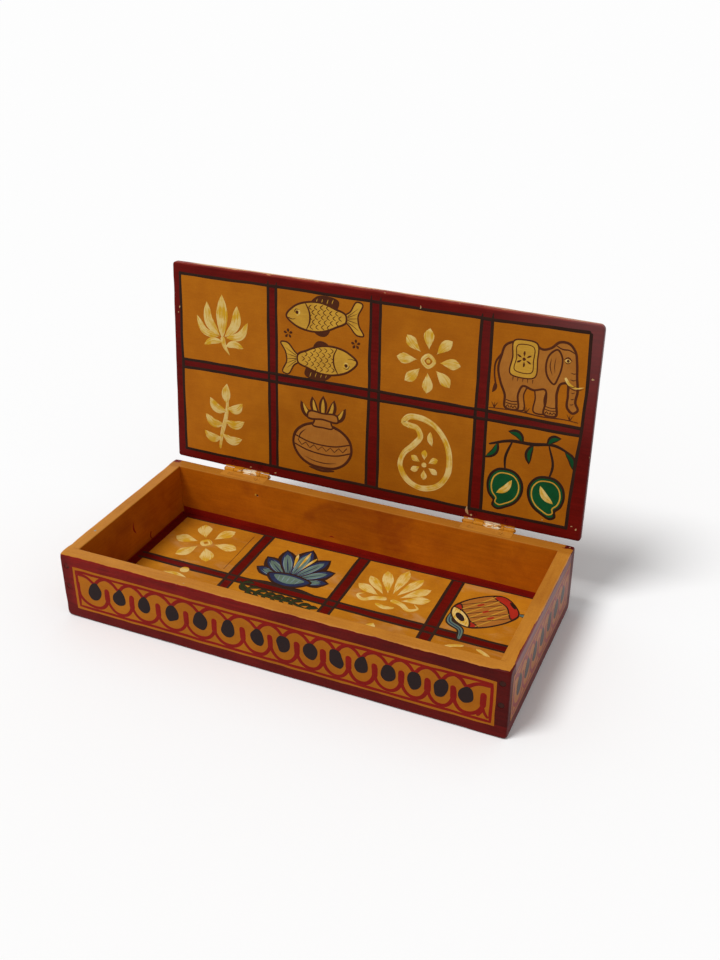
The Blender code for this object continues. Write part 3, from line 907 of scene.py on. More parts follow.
class PAINTEDBOX_OT_boards(bpy.types.Operator):
    """Makes the painted base and the four painted walls"""

    bl_idname = "paintedbox.boards"
    bl_label = "Base and walls"

    def execute(self, context):
        edge, inner = sizes().edge, sizes().inner_edge
        half = (HALF_LENGTH, HALF_DEPTH, TOP)
        paint = red_board_finish("base_paint", (0, 0, TOP), half, WALL_WEAR, WALL_SHEEN)
        rounding = [(("x-", "x+", "y-", "y+", "z-"), edge, everywhere)]
        base = make_board("painted_base", "box", "base_board", BASE_LOW, BASE_HIGH, rounding, paint)
        names = [name for wall, count in BASE_NAILS.items() for name in nails(wall, "base", count)]
        carve(base, nail_cutters(names, (0, 0, -1)))
        for wall, side, other, sign, share in LONG_WALLS:
            name = f"{wall}_wall"
            low, high = corners_of(name)
            low.z = FOOT
            rounding = [(("x-", "x+", side, "z+"), edge * share, everywhere)]
            rounding.append(((other, "z+"), inner, between_ends))
            finish = wall_finish("x", WALL_SHEEN)
            board = make_board(f"painted_{name}", "box", name, low, high, rounding, finish)
            names = nails(f"{wall}_left", "corner", 2) + nails(f"{wall}_right", "corner", 2)
            cutters = nail_cutters(names, (0, sign, 0))
            if wall == "back":
                cutters += [seat_cutter(hinge, "box") for hinge in ("left", "right")]
            carve(board, cutters)
        for name, side, other, sheen in ENDS:
            low, high = corners_of(name)
            low.y, high.y, low.z = -INNER_DEPTH, INNER_DEPTH, FOOT
            rounding = [((side, "z+"), edge, everywhere), ((other, "z+"), inner, everywhere)]
            finish = wall_finish("y", sheen)
            board = make_board(f"painted_{name}", "box", name, low, high, rounding, finish)
            board.data.materials.append(wall_finish("y", WALL_SHEEN))
            for face in board.data.polygons:
                face.material_index = int(abs(face.center.x) < HALF_LENGTH - 0.0011)
        return {"FINISHED"}


# The radius of the lid's front right corner, the roundest
LID_CORNER = 0.0036
# How far the lid's edges stand out at their middle and drop back to their two ends
FRONT_BOW = (0.0004, 0.0009, -0.0002)
HINGE_BOW = (0.0005, 0.0009, -0.0001)
RIGHT_LEAN = (-0.0003, 0.0, 0.0009)


def hand_cut(point):
    """Moves a point of the lid's block to its rounded corners and slightly bowed edges."""
    offset = point - LID_MIDDLE
    signs = [math.copysign(1, offset[axis]) for axis in (0, 1)]
    reach = LID_CORNER * (1.0 if signs == [1, -1] else 0.55)
    gaps = [reach - (LID_HALF[axis] - abs(offset[axis])) for axis in (0, 1)]
    if min(gaps) > 0:
        size = max(gaps) / math.hypot(*gaps) - 1
        for axis in (0, 1):
            point[axis] += signs[axis] * gaps[axis] * size
    u, v = offset.x / LID_HALF.x, offset.y / LID_HALF.y
    high, drop, slant = FRONT_BOW if v < 0 else HINGE_BOW
    point.y += v * (high - drop * u * u + slant * u)
    if u > 0:
        high, drop, slant = RIGHT_LEAN
        point.x += u * (high - drop * v * v + slant * v)
    return point


class PAINTEDBOX_OT_lid(bpy.types.Operator):
    """Makes the painted lid board"""

    bl_idname = "paintedbox.lid"
    bl_label = "Lid board"

    def execute(self, context):
        middle, half = tuple(LID_MIDDLE), tuple(LID_HALF)
        lip = (middle[0] + half[0], middle[1] - half[1], middle[2] + half[2])
        paint = red_board_finish("lid_paint", middle, half, LID_WEAR, LID_SHEEN, lip)
        edge = sizes().lid_edge
        rounding = [((f"{axis}-", f"{axis}+", "z-", "z+"), edge, everywhere) for axis in "xy"]
        board = make_board("painted_lid", "lid", "lid_board", LID_LOW, LID_HIGH, rounding, paint, OPEN)
        for vertex in board.data.vertices:
            vertex.co = hand_cut(vertex.co.copy())
        carve(board, [seat_cutter(side, "lid") for side in ("left", "right")])
        return {"FINISHED"}


class PAINTEDBOX_OT_metalwork(bpy.types.Operator):
    """Gives the hinges, their screws and pins, and the nails their finishes"""

    bl_idname = "paintedbox.metalwork"
    bl_label = "Hinges and nails"

    def execute(self, context):
        for name, node in frame["nodes"].items():
            if "_hinge_" in name:
                finish = hinge_finish("lid" if "_lid_" in name else "box")
            elif "_nail_" in name:
                finish = nail_finish()
            else:
                continue
            node.data.materials.clear()
            node.data.materials.append(finish)
        return {"FINISHED"}


# Brushwork


def ripple(*place):
    """A smooth uneven value between -1 and 1."""
    return noise.noise(Vector(place))


def step_towards(degrees):
    """A step of length 1 in a direction."""
    angle = math.radians(degrees)
    return complex(math.cos(angle), math.sin(angle))


def as_complex(point):
    return point if isinstance(point, complex) else complex(*point)


# Millimetres between the places on a smooth line, a filled shape's outline and a straight line
SMOOTH_STEP = 1.2
OUTLINE_STEP = 1.5
STRAIGHT_STEP = 3.0


def flow(points, closed=False, step=SMOOTH_STEP):
    """A smooth line through complex points, in even steps."""
    count = len(points)
    line = []
    for index in range(count if closed else count - 1):
        start, end = points[index], points[(index + 1) % count]
        before = points[index - 1] if closed or index else 2 * start - end
        after = points[(index + 2) % count] if closed or index + 2 < count else 2 * end - start
        gap = abs(end - start) or 1e-9
        gap_before, gap_after = abs(start - before) or gap, abs(after - end) or gap
        slope = (end - start) / gap
        leave = ((start - before) / gap_before * gap + slope * gap_before) / (gap_before + gap)
        arrive = (slope * gap_after + (after - end) / gap_after * gap) / (gap_after + gap)
        pieces = max(1, math.ceil(gap / step))
        for piece in range(pieces):
            t = piece / pieces
            line.append(
                (2 * t**3 - 3 * t**2 + 1) * start
                + (t**3 - 2 * t**2 + t) * gap * leave
                + (3 * t**2 - 2 * t**3) * end
                + (t**3 - t**2) * gap * arrive
            )
    return line if closed else line + [points[-1]]


def flow_straight(points, closed):
    """Straight runs between points, in even steps."""
    line = []
    ends = points + points[:1] if closed else points
    for start, end in zip(ends, ends[1:]):
        pieces = max(1, round(abs(end - start) / STRAIGHT_STEP))
        line.extend(start + (end - start) * piece / pieces for piece in range(pieces))
    return line if closed else line + [points[-1]]


def headings(spots, closed):
    """The direction of a line at each of its places."""
    count = len(spots)
    found = []
    for index in range(count):
        before = spots[index - 1] if closed or index else spots[0]
        after = spots[(index + 1) % count] if closed or index + 1 < count else spots[-1]
        found.append((after - before) / (abs(after - before) or 1))
    return found


# How wide a stroke is at each share of its length, as a share of its full width
SHAPES = {
    "even": lambda t: 1.0,
    "leaf": lambda t: max(0.04, math.sin(math.pi * t) ** 0.75),
    "petal": lambda t: max(0.05, math.sin(math.pi * t**1.6) ** 0.7),
    "tail": lambda t: max(0.06, (1 - t) ** 0.55),
    "swell": lambda t: 0.55 + 0.45 * math.sin(math.pi * t),
    "sweep": lambda t: max(0.10, 1 - 0.9 * t**2.2),
}


# How fast a hand's sway and swell change with each millimetre of a line, and how much it swells
SWAY_PACE = 0.055
SWELL_PACE = 0.09
SWELL_SHARE = 0.16


class Face:
    """A flat painted face: where it lies, which way it faces, and the films on it."""

    def __init__(self, name, body, slot, origin, right, up, placement=STILL, sheen=WALL_SHEEN):
        self.name, self.body, self.slot, self.placement = name, body, slot, placement
        self.sheen = sheen
        self.origin, self.right, self.up = Vector(origin), Vector(right), Vector(up)
        self.out = self.right.cross(self.up)
        self.films = {}
        self.strokes = 0

    def at(self, point, lift):
        flat = self.right * point.real + self.up * point.imag
        return self.origin + (flat + self.out * lift) * MM

    def stores(self, paint):
        self.strokes += 1
        return self.films.setdefault(paint, ([], [], []))

    def ribbon(self, paint, line, widths, lift, closed=False):
        """One brush stroke: a low crowned strip along a line."""
        vertices, faces, marks = self.stores(paint)
        first, count = len(vertices), len(line)
        along = self.strokes * MARK_START
        edge = lift * EDGE_RISE
        crown = ((-1, edge), (-EDGE_SHARE, lift), (EDGE_SHARE, lift), (1, edge))
        section = (*crown, (1, FILM_ROOT), (-1, FILM_ROOT))
        for index, (point, heading) in enumerate(zip(line, headings(line, closed))):
            across = heading * -1j * widths[index] / 2
            along += abs(point - line[index - 1]) if index else 0
            for share, height in section:
                vertices.append(self.at(point + across * share, height))
                marks.append((share * widths[index] / 2, along))
        rings = [tuple(range(first + 6 * i, first + 6 * i + 6)) for i in range(count)]
        pairs = list(zip(rings, rings[1:]))
        if closed:
            pairs.append((rings[-1], rings[0]))
        else:
            faces.extend([rings[0], rings[-1][::-1]])
        for here, there in pairs:
            for index in range(6):
                after = (index + 1) % 6
                faces.append((here[index], there[index], there[after], here[after]))

    def patch(self, paint, outline, lift, angle=0.0):
        """A filled shape with upright sides. Its bristle marks run at an angle in degrees."""
        vertices, faces, marks = self.stores(paint)
        first, count = len(vertices), len(outline)
        turn = step_towards(angle).conjugate()
        offset = self.strokes * MARK_START
        for height in (lift, FILM_ROOT):
            for point in outline:
                vertices.append(self.at(point, height))
                laid = point * turn
                marks.append((laid.imag, laid.real + offset))
        for triangle in tessellate_polygon([[Vector((p.real, p.imag, 0)) for p in outline]]):
            faces.append(tuple(first + corner for corner in triangle))
            faces.append(tuple(first + count + corner for corner in reversed(triangle)))
        for index in range(count):
            after = (index + 1) % count
            faces.append((first + index, first + after, first + count + after, first + count + index))

    def finish(self):
        """Turns the films into pieces, one for each paint."""
        for paint, (vertices, faces, marks) in self.films.items():
            name = f"{self.name}_{paint}"
            mesh = give_mesh(name, vertices, faces, brushed(paint, self.sheen))
            layer = mesh.uv_layers.new(name="stroke")
            values = [mark / MARK_SCALE for loop in mesh.loops for mark in marks[loop.vertex_index]]
            layer.data.foreach_set("uv", values)
            piece = give_object(name, mesh, self.placement)
            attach(piece, self.body)
        self.films = {}


def lid_inner_face(name):
    """The face of the lid that looks into the box when the lid is shut."""
    corner = (0, LID_HIGH.y, LID_LOW.z)
    return Face(name, "lid", "lid_board", corner, (1, 0, 0), (0, -1, 0), OPEN, LID_SHEEN)


class Brush:
    """Draws one picture on a face in the picture's own frame, stroke over stroke."""

    def __init__(self, face, x=0.0, y=0.0, size=1.0, turn=0.0, mirror=False, first=FIRST_STROKE):
        self.face = face
        self.origin = complex(x, y)
        self.factor = size * step_towards(turn)
        self.mirror = mirror
        self.lifts = [first]

    def part(self, x, y, size=1.0, turn=0.0, mirror=False):
        """A brush for a part of the picture, whose strokes go on in the same order."""
        inner = Brush(self.face, x, y, size, turn, self.mirror != mirror)
        if self.mirror:
            inner.origin, inner.factor = -inner.origin.conjugate(), inner.factor.conjugate()
        inner.origin = self.origin + self.factor * inner.origin
        inner.factor = self.factor * inner.factor
        inner.lifts = self.lifts
        return inner

    def place(self, points):
        placed = []
        for point in map(as_complex, points):
            point = -point.conjugate() if self.mirror else point
            placed.append(self.origin + self.factor * point)
        return placed

    def lift(self):
        self.lifts[0] += STROKE_STEP
        return self.lifts[0]

    def line(self, paint, points, width, shape="even", closed=False, wobble=1.0, smooth=True):
        """A stroke along a line, with round ends and a hand's unevenness."""
        placed = self.place(points)
        line = flow(placed, closed) if smooth else flow_straight(placed, closed)
        width *= abs(self.factor)
        seed = self.face.strokes * 1.73
        stray = sizes().wobble / MM * wobble
        spots, shares, total = stations(line, width, closed)
        course, widths = [], []
        for spot, share, heading in zip(spots, shares, headings(spots, closed)):
            place = share * total
            sway, swell = ripple(place * SWAY_PACE, seed, 0.3), ripple(place * SWELL_PACE, seed, 5.3)
            if closed:
                fade = min(1.0, share * 6, (1 - share) * 6)
                sway, swell = sway * fade, swell * fade
            cap = 1.0 if closed else round_end(place, total, width / 2)
            course.append(spot + heading * 1j * sway * stray)
            widths.append(width * SHAPES[shape](share) * cap * (1 + SWELL_SHARE * swell))
        self.face.ribbon(paint, course, widths, self.lift(), closed)

    def leaf(self, paint, root, tip, width, bend=0.0, shape="leaf"):
        """A pointed stroke from root to tip, bent to its left by a share of its length."""
        root, tip = as_complex(root), as_complex(tip)
        middle = (root + tip) / 2 + (tip - root) * 1j * bend
        self.line(paint, [root, middle, tip], width, shape, wobble=0.5)

    def fill(self, paint, points, angle=0.0):
        """A filled shape."""
        outline = flow(self.place(points), True, OUTLINE_STEP)
        self.face.patch(paint, outline, self.lift(), angle)

    def loop(self, paint, points, width, wobble=1.0):
        """A closed line."""
        self.line(paint, points, width, closed=True, wobble=wobble)

    def shape(self, fill, edge, points, width, angle=0.0):
        """A filled shape with its outline."""
        self.fill(fill, points, angle)
        self.loop(edge, points, width, 0.5)

    def spot(self, paint, x, y, radius, stretch=1.0, ragged=0.06):
        """A round touch of the brush."""
        seed = self.face.strokes * 2.11
        outline = []
        for step in range(18):
            turn = 2 * math.pi * step / 18
            reach = radius * (1 + ragged * 2 * ripple(math.cos(turn), math.sin(turn), seed))
            outline.append(complex(x + reach * math.cos(turn), y + reach * stretch * math.sin(turn)))
        self.face.patch(paint, self.place(outline), self.lift())


def stations(line, width, closed):
    """Places along a line for a stroke's rings, close together at round ends, and its length."""
    lengths = [0.0]
    for start, end in zip(line, line[1:] + line[:1] if closed else line[1:]):
        lengths.append(lengths[-1] + abs(end - start))
    total = lengths[-1]
    if closed:
        return line, [here / total for here in lengths[:-1]], total
    round_off = min(width / 2, total / 2.2)
    caps = [round_off * share for share in (0.0, 0.06, 0.22, 0.5)]
    inner = (here for here in lengths if round_off < here < total - round_off)
    places = sorted({*caps, *(total - cap for cap in caps), *inner})
    spots, index = [], 0
    for place in places:
        while index < len(lengths) - 2 and lengths[index + 1] < place:
            index += 1
        gap = lengths[index + 1] - lengths[index] or 1
        spots.append(line[index] + (line[index + 1] - line[index]) * (place - lengths[index]) / gap)
    return spots, [place / total for place in places], total


def round_end(place, total, radius):
    """How wide a round-ended stroke is near its ends, as a share."""
    near = min(place, total - place)
    if near >= radius:
        return 1.0
    return max(0.12, math.sqrt(max(0.0, 1 - (1 - near / radius) ** 2)))


# Pictures, each in its own frame in millimetres


def both_sides(left, *rest):
    """An outline: its left side, a middle point, the same side mirrored, and the points that are left."""
    return [*left, rest[0], *((-x, y) for x, y in reversed(left)), *rest[1:]]


def part_way(start, end, share):
    """A point between two points."""
    start, end = complex(*start), complex(*end)
    return start + (end - start) * share


def broad():
    """The width of the broad cream strokes in millimetres."""
    return sizes().cream / MM


def ring_of_leaves(brush, paint, count, inner, outer, width, start=90.0, shape="petal"):
    """Leaves or petals that spread from a centre."""
    for index in range(count):
        spoke = step_towards(start + 360 * index / count)
        brush.leaf(paint, spoke * inner, spoke * outer, width, 0.04, shape)


def lotus_bud(brush):
    """A cream lotus bud on its stem."""
    w = broad()
    brush.line("cream", [(0, -8), (1.5, -14), (6, -21)], w * 0.72, "sweep")
    brush.leaf("cream", (2.5, -15), (17, -14.5), w * 1.05, 0.16)
    brush.leaf("cream", (0, -12), (-15, -16), w * 1.05, -0.14)
    for side in (-1, 1):
        brush.line("cream", [(side * 3, -8.5), (side * 14.5, -5.5), (side * 20.5, 5)], w * 1.15, "leaf")
        brush.line("cream", [(side * 2, -8), (side * 10.5, 2), (side * 12, 16)], w * 1.45, "leaf")
    brush.leaf("cream", (0, -9.5), (0, 22.5), w * 1.8)


def fish(brush):
    """A yellow fish with brown scales, facing left."""
    body = [(-27, 0), (-21, 6.5), (-11, 10), (0, 10), (10, 6.5), (18, 2.2), (18, -1.6), (10, -6)]
    body += [(0, -9.5), (-11, -9.5), (-21, -6)]
    tail = [(15, 1), (21, 5), (27, 12), (30, 11), (26.5, 2), (27, -4), (30, -11), (26, -11), (20, -4.5)]
    brush.shape("yellow", "brown", tail, 1.3, 20)
    for y in (8, 4.5, 1, -3, -7.5):
        brush.line("brown", [(19, y * 0.25), (23, y * 0.6), (27.2, y)], 0.8, "tail")
    brush.shape("brown", "brown", [(-8, 9), (-3, 14), (5, 14.5), (13, 11), (11, 6), (0, 8)], 1.0)
    for x in (-3, 1, 5, 9):
        brush.line("yellow", [(x - 1, 9.4), (x + 0.5, 13)], 0.7, "leaf")
    brush.shape("brown", "brown", [(-7, -9), (-4, -12), (2, -12.4), (5, -8.5), (-1, -7)], 1.0)
    brush.shape("yellow", "brown", body, 1.7, 8)
    for row, column in product(range(-2, 3), range(6)):
        x, y = -9 + column * 4.4 + (2.2 if row % 2 else 0), row * 3.4
        if abs(y) < 8.2 - max(0, x - 2) * 0.42 and x < 15:
            brush.line("brown", [(x + 1.6, y + 1.8), (x - 0.5, y), (x + 1.6, y - 1.8)], 0.85, "swell")
    brush.line("brown", [(-12, 9.2), (-9.6, 4), (-9.8, -4), (-12.5, -8.8)], 1.5, "swell")
    brush.line("brown", [(-26, -1.2), (-22, -2.2), (-20, -1.4)], 0.9, "tail")
    brush.spot("cream", -18.5, 2.8, 2.3)
    brush.spot("brown", -18.7, 2.8, 1.25)
    brush.line("brown", [(-21.3, 2.2), (-19.6, 5), (-16.6, 4.6)], 0.8, "leaf")


def fish_pair(brush):
    """Two fish that circle each other between two small flowers."""
    fish(brush.part(0, 15.4, 1.02, 5))
    fish(brush.part(0, -15, 1.02, -175))
    for x in (-26, 26):
        ring_of_leaves(brush.part(x, 0.4), "brown", 5, 0.6, 3.6, 2.2)


def sun_flower(brush):
    """A cream rosette."""
    ring_of_leaves(brush, "cream", 8, 8, 23, broad() * 1.5)
    brush.loop("cream", [(4.3, 0), (0, 4.3), (-4.3, 0), (0, -4.3)], broad() * 0.5)
    brush.spot("cream", 0, 0, 1.4)


def elephant(brush):
    """A tan elephant with brown outlines, facing right."""
    line = "brown"
    for leg in (
        [(1, -6), (8, -7), (7.5, -16), (8, -26), (1.5, -26), (1.5, -16)],
        [(-12, -6), (-5, -7), (-6.5, -15), (-6, -26), (-12, -26), (-11.5, -15)],
    ):
        brush.shape("tan", line, leg, 1.3)
    brush.line(line, [(-24, 11), (-27.5, 5), (-28, -4), (-26.5, -11)], 1.4)
    brush.leaf(line, (-26.6, -9), (-28.5, -17), 3.2, 0.1)
    body = [(-24, 10), (-22, 17), (-14, 21), (-4, 21), (4, 18), (9, 20), (14, 24.5), (20, 24.5)]
    body += [(24.5, 20), (26.5, 12), (27.5, 3), (29, -7), (28.5, -15), (30.5, -19.5), (27.5, -22)]
    body += [(24, -19.5), (23, -10), (21.5, -2), (17.5, -3), (15.5, -9), (16, -18), (16.5, -26)]
    body += [(8.5, -26), (9, -17), (7.5, -9), (0, -10.5), (-8, -9), (-10.5, -15), (-10, -26)]
    body += [(-18.5, -26), (-19.5, -17), (-23, -9), (-25.5, 1)]
    brush.shape("tan", line, body, 2.0, 70)
    cloth = [(-16, 21.5), (-9, 22.6), (-1, 21.5), (0.5, 10), (-0.5, -2), (-9, -3.6), (-17, -2), (-16.5, 10)]
    brush.shape("yellow", line, cloth, 1.3)
    hem = [(-13.6, 18.6), (-8.5, 19.6), (-3.2, 18.6), (-2.4, 9), (-3, 1.2), (-9, 0), (-14.4, 1.2), (-14, 10)]
    brush.loop(line, hem, 0.9)
    ring_of_leaves(brush.part(-8.6, 9.6), line, 6, 1.6, 5.6, 2.2)
    brush.spot(line, -8.6, 9.6, 1.2)
    for x in (-15, -11.5, -8.2, -4.8, -1.4):
        brush.line(line, [(x, -3.4), (x - 0.2, -6.6)], 0.9, "tail")
    ear = [(13, 19.5), (8.5, 16), (6.5, 8), (8.5, 0), (13, -4), (15.2, 1), (16.8, 8), (16.4, 15)]
    brush.shape("tan", line, ear, 1.7, 60)
    brush.line(line, [(9.8, 13.6), (9.4, 7), (11.4, 1.4)], 0.9, "leaf")
    brush.line(line, [(12.6, 14.6), (12.2, 8.4), (13, 3)], 0.8, "leaf")
    brush.spot("cream", 20.4, 13.0, 1.8, 0.7)
    brush.spot(line, 20.6, 13.0, 1.0)
    brush.line(line, [(17.6, 13.2), (20.4, 15.2), (23.4, 13)], 1.1, "leaf")
    brush.line(line, [(17.8, 12.4), (20.4, 11.0), (23, 12.4)], 0.7, "leaf")
    brush.line("cream", [(20, 1.6), (23, -2.6), (28, -4.6), (33, -3)], 2.2, "sweep")
    brush.line(line, [(19.5, 0), (23, -4.4), (28, -6.2), (33, -4.2)], 0.8, "leaf")
    for y in (6, 1.4, -3, -7.4, -11.8, -15.6):
        reach = 22.4 if y > -6 else 24.2
        brush.line(line, [(27.6, y), (25.6, y - 1), (reach + 0.6, y - 0.4)], 0.8, "leaf")
    for x in (8.6, -18.4):
        for y in (-20.4, -22.4):
            brush.line(line, [(x, y), (x + 4, y - 0.6), (x + 8, y)], 0.8)
        for toe in (1.6, 4.2, 6.6):
            brush.line(line, [(x + toe - 1, -25.6), (x + toe, -24), (x + toe + 1, -25.6)], 0.8)
    brush.line(line, [(11.6, 22.4), (16, 20.4), (20.6, 20.4), (25, 18.6)], 1.2, "swell")
    brush.line(line, [(-30, -28), (-12, -27.2), (6, -28.2), (22, -27.4), (32, -28.2)], 1.0, "swell")
    for x, lean in product((-26, -4, 26), (-2.4, 0, 2.4)):
        brush.line(line, [(x, -27.6), (x + lean * 0.5, -25.2), (x + lean, -23.4)], 0.8, "tail")


def leaf_sprig(brush):
    """A cream sprig of leaves."""
    w = broad()
    brush.line("cream", [(-5, -25), (-3, -12), (0, 0), (1.5, 11), (1, 18)], w * 0.7, "swell")
    for root, tip, bend in (
        ((-3.8, -16), (-18.5, -12.5), 0.2),
        ((-3.0, -12.5), (14, -14), -0.2),
        ((-1.6, -5), (-17, 1.5), 0.2),
        ((-0.4, -1.5), (16, 0.5), -0.2),
        ((1.0, 6), (-13, 15), 0.2),
        ((1.6, 8.5), (14.5, 14.5), -0.2),
        ((1.0, 12), (1.5, 28), 0.04),
    ):
        brush.leaf("cream", root, tip, w * 1.4, bend)


def water_pot(brush):
    """A round tan water pot with leaves in its mouth."""
    line = "brown"
    for x, y, bend, width in (
        (-19, 27, 0.2, 7), (19, 27, -0.2, 7), (-9.5, 32, 0.1, 7), (9.5, 32, -0.1, 7), (0, 34, 0, 7.4)
    ):
        root = (x * 0.22, 15)
        brush.leaf(line, root, (x, y), width, bend)
        brush.leaf("yellow", root, part_way(root, (x, y), 0.86), width * 0.5, bend)
    body = [(-8, 10), (-16, 7), (-23, 0), (-24.5, -9), (-20, -18), (-11, -24)]
    brush.shape("tan", line, both_sides(body, (0, -25.5), (0, 11)), 2.6, 80)
    brush.shape("tan", line, both_sides([(-8.5, 9), (-7, 13), (-8.5, 16)], (0, 16.6), (0, 8)), 1.8)
    brush.shape("tan", line, both_sides([(-13, 15.4), (-12.4, 18.4)], (0, 19.4), (0, 14.6)), 2.0)
    brush.line(line, both_sides([(-23.4, -2), (-12, -5.6)], (0, -6.6)), 1.5)
    brush.line(line, both_sides([(-24, -9), (-12, -13)], (0, -14)), 1.5)
    zigzag = []
    for step in range(13):
        x = -21 + step * 3.5
        sag = -4.6 * (1 - (x / 24) ** 2)
        zigzag.append((x, -4.4 + sag * 0.75 + (-1.9 if step % 2 else 1.6) - 1.6))
    brush.line(line, zigzag, 1.0, smooth=False, wobble=0.3)
    brush.line(line, [(-15, -18.4), (-6, -21), (4, -21.4), (13, -19.4)], 1.1, "leaf")
    brush.line(line, [(-14, 4.4), (-19, -0.6), (-20.6, -6)], 1.3, "leaf")
    brush.line(line, [(-11, -26.6), (0, -28), (11, -26.6)], 2.2, "swell")


def paisley(brush):
    """A cream paisley with a flower in it."""
    w = broad()
    edge = [(-12, 20.5), (-6.5, 19.5), (-3.5, 14), (-8, 7), (-15, -1), (-17.5, -10), (-12.5, -20)]
    edge += [(-1, -25), (11, -21.5), (18, -11), (18.5, 2), (14.5, 14), (6, 23.5), (-5, 27.5)]
    edge += [(-14, 26), (-16.5, 22)]
    brush.loop("cream", edge, w * 0.84)
    ring_of_leaves(brush.part(0.5, -7), "cream", 6, 3.6, 11.4, w * 0.98)
    brush.spot("cream", 0.5, -7, 1.9)
    brush.leaf("cream", (5.5, 8), (3.5, 18.5), w * 0.8, 0.1)


def mangoes(brush):
    """Two green mangoes that hang from a dark twig."""
    brush.line("line", [(-29, 21), (-14, 26), (2, 26.5), (18, 28.5), (30, 24)], 2.8, "swell")
    for root, tip, bend in (
        ((-22, 23.6), (-31, 10), 0.14),
        ((-4, 26.4), (-16, 33), -0.2),
        ((3, 26.6), (1, 11), -0.12),
        ((25, 26), (32.5, 13), 0.14),
        ((12, 28), (22, 34.6), 0.16),
    ):
        brush.leaf("line", root, tip, 6.0, bend)
        brush.leaf("green", part_way(root, tip, 0.1), part_way(root, tip, 0.9), 3.6, bend)
    for x, mirror, top, lean in ((-15, False, (-12, 26), -1), (16, True, (14, 27.8), 2)):
        brush.line("line", [top, (x + lean, 13), (x, 2)], 2.0, "swell")
        fruit = brush.part(x, -9, 0.96, 0, mirror)
        edge = [(0.5, 13.5), (7.5, 12), (12.8, 5.5), (13.4, -3), (9.5, -11), (2.5, -16), (-4.6, -18.6)]
        edge += [(-7.4, -16.6), (-6.6, -12.8), (-10.6, -8), (-12.6, 0), (-10.2, 8.4), (-5.4, 12.6)]
        fruit.shape("green", "line", edge, 2.3, 60)
        fruit.loop("yellow", [(a * 0.8 + 0.2, b * 0.81 - 0.4) for a, b in edge], 1.3)
        fruit.leaf("cream", (-5.5, -6.5), (5.5, 6), 7.0, -0.12)


def broad_flower(brush):
    """A broad cream flower."""
    ring_of_leaves(brush, "cream", 6, 7, 26, broad() * 2.1, 60)
    brush.loop("cream", [(3.6, 0), (0, 3.6), (-3.6, 0), (0, -3.6)], broad() * 0.6)


def water_lily(brush):
    """A blue and teal water lily with cream stamens."""
    for angle, reach, width in (
        (-76, 29, 13), (76, 29, 13), (-52, 34, 14), (52, 34, 14), (-27, 38, 15), (27, 38, 15), (0, 41, 17)
    ):
        petal = brush.part(0, -15, 1.0, -angle)
        for paint, root, short, slim in (("line", 0, 0, 0), ("blue", 1.5, 1.8, 2.8), ("teal", 5, 6, 7.4)):
            petal.leaf(paint, (0, root), (0, reach - short), width - slim, 0.0, "petal")
        petal.line("blue", [(0, 6), (0, reach - 10)], 1.3, "leaf")
        for side in (-1, 1):
            light = [(side * 1.5, 8), (side * 2.9, reach * 0.55), (side * 1.6, reach * 0.8)]
            petal.line("pale_blue", light, 0.9, "leaf")
    cup = both_sides([(-16, -12.4), (-10, -20)], (0, -22.8), (8, -9), (0, -8), (-8, -9))
    brush.shape("blue", "line", cup, 2.0)
    inner = both_sides([(-11.5, -12.6), (-7, -17.4)], (0, -19.4), (6, -11), (0, -10.4), (-6, -11))
    brush.fill("teal", inner)
    for x in (-8, -4, 0, 4, 8):
        brush.line("pale_blue", [(x, -11.4), (x * 0.8, -18)], 0.9, "leaf")
    brush.line("line", both_sides([(-24, -24.2), (-12, -22.8)], (0, -24.6)), 2.8, "leaf")
    for x, top in ((-7.5, 17), (0, 22), (7.5, 17)):
        brush.line("cream", [(x * 0.35, -1), (x * 0.7, top * 0.55), (x, top)], 2.6, "petal")


def palmette(brush):
    """A cream fan of strokes over two curls."""
    w = broad()
    for angle in (-66, -44, -22, 0, 22, 44, 66):
        reach = 40 - abs(angle) * 0.16
        brush.part(0, -16, 1.0, -angle).leaf("cream", (0, 9), (0, reach), w * 1.55, 0.0, "petal")
    for side in (-1, 1):
        curl = [(1.5, -14), (10, -16), (17, -20.5), (22, -16.5), (18, -12.6)]
        brush.line("cream", [(side * x, y) for x, y in curl], w * 0.82, "sweep")
    brush.line("cream", [(-7, -21.5), (0, -23.6), (7, -21.5)], w * 0.8, "swell")


def drum(brush):
    """A two-headed drum with a sash."""
    ribbons = ([(-20, 8), (-27, -2), (-24, -13), (-29, -22)], [(19, -10), (25, -17), (20, -24), (25, -31)])
    for ribbon in ribbons:
        for paint, width, shape in (("line", 6.4, "swell"), ("teal", 4.2, "swell"), ("blue", 1.2, "leaf")):
            brush.line(paint, ribbon, width, shape)
    body = [(-18, 12), (-9, 15.6), (0, 16.4), (9, 15.6), (18, 12), (20.6, 0)]
    brush.shape("tan", "line", body + [(-x, -y) for x, y in body], 1.8)
    for side in (-1, 1):
        band = [(13, 14), (18, 12), (21.4, 0), (18, -12), (13, -14), (15.6, 0)]
        brush.shape("accent", "line", [(side * x, y) for x, y in band], 1.3)
    for step in range(5):
        y = -10.4 + step * 5.2
        brush.line("yellow", [(-13.6, y - 2.6), (0, y), (13.6, y + 2.6)], 1.1)
        brush.line("line", [(-13.6, y + 2.2), (0, y), (13.6, y - 2.2)], 0.8)
    for y in (-8, 0, 8):
        brush.line("accent", [(-2.6, y), (2.6, y)], 2.2)
    head = [(-18, 12), (-22, 7), (-23.4, 0), (-22, -7), (-18, -12), (-14.6, -6), (-13.8, 0), (-14.6, 6)]
    brush.shape("cream", "line", head, 1.5, 90)
    brush.spot("drop", -18.6, 0, 2.4, 2.1)
    brush.spot("line", 20.2, 0, 1.2, 3.4)


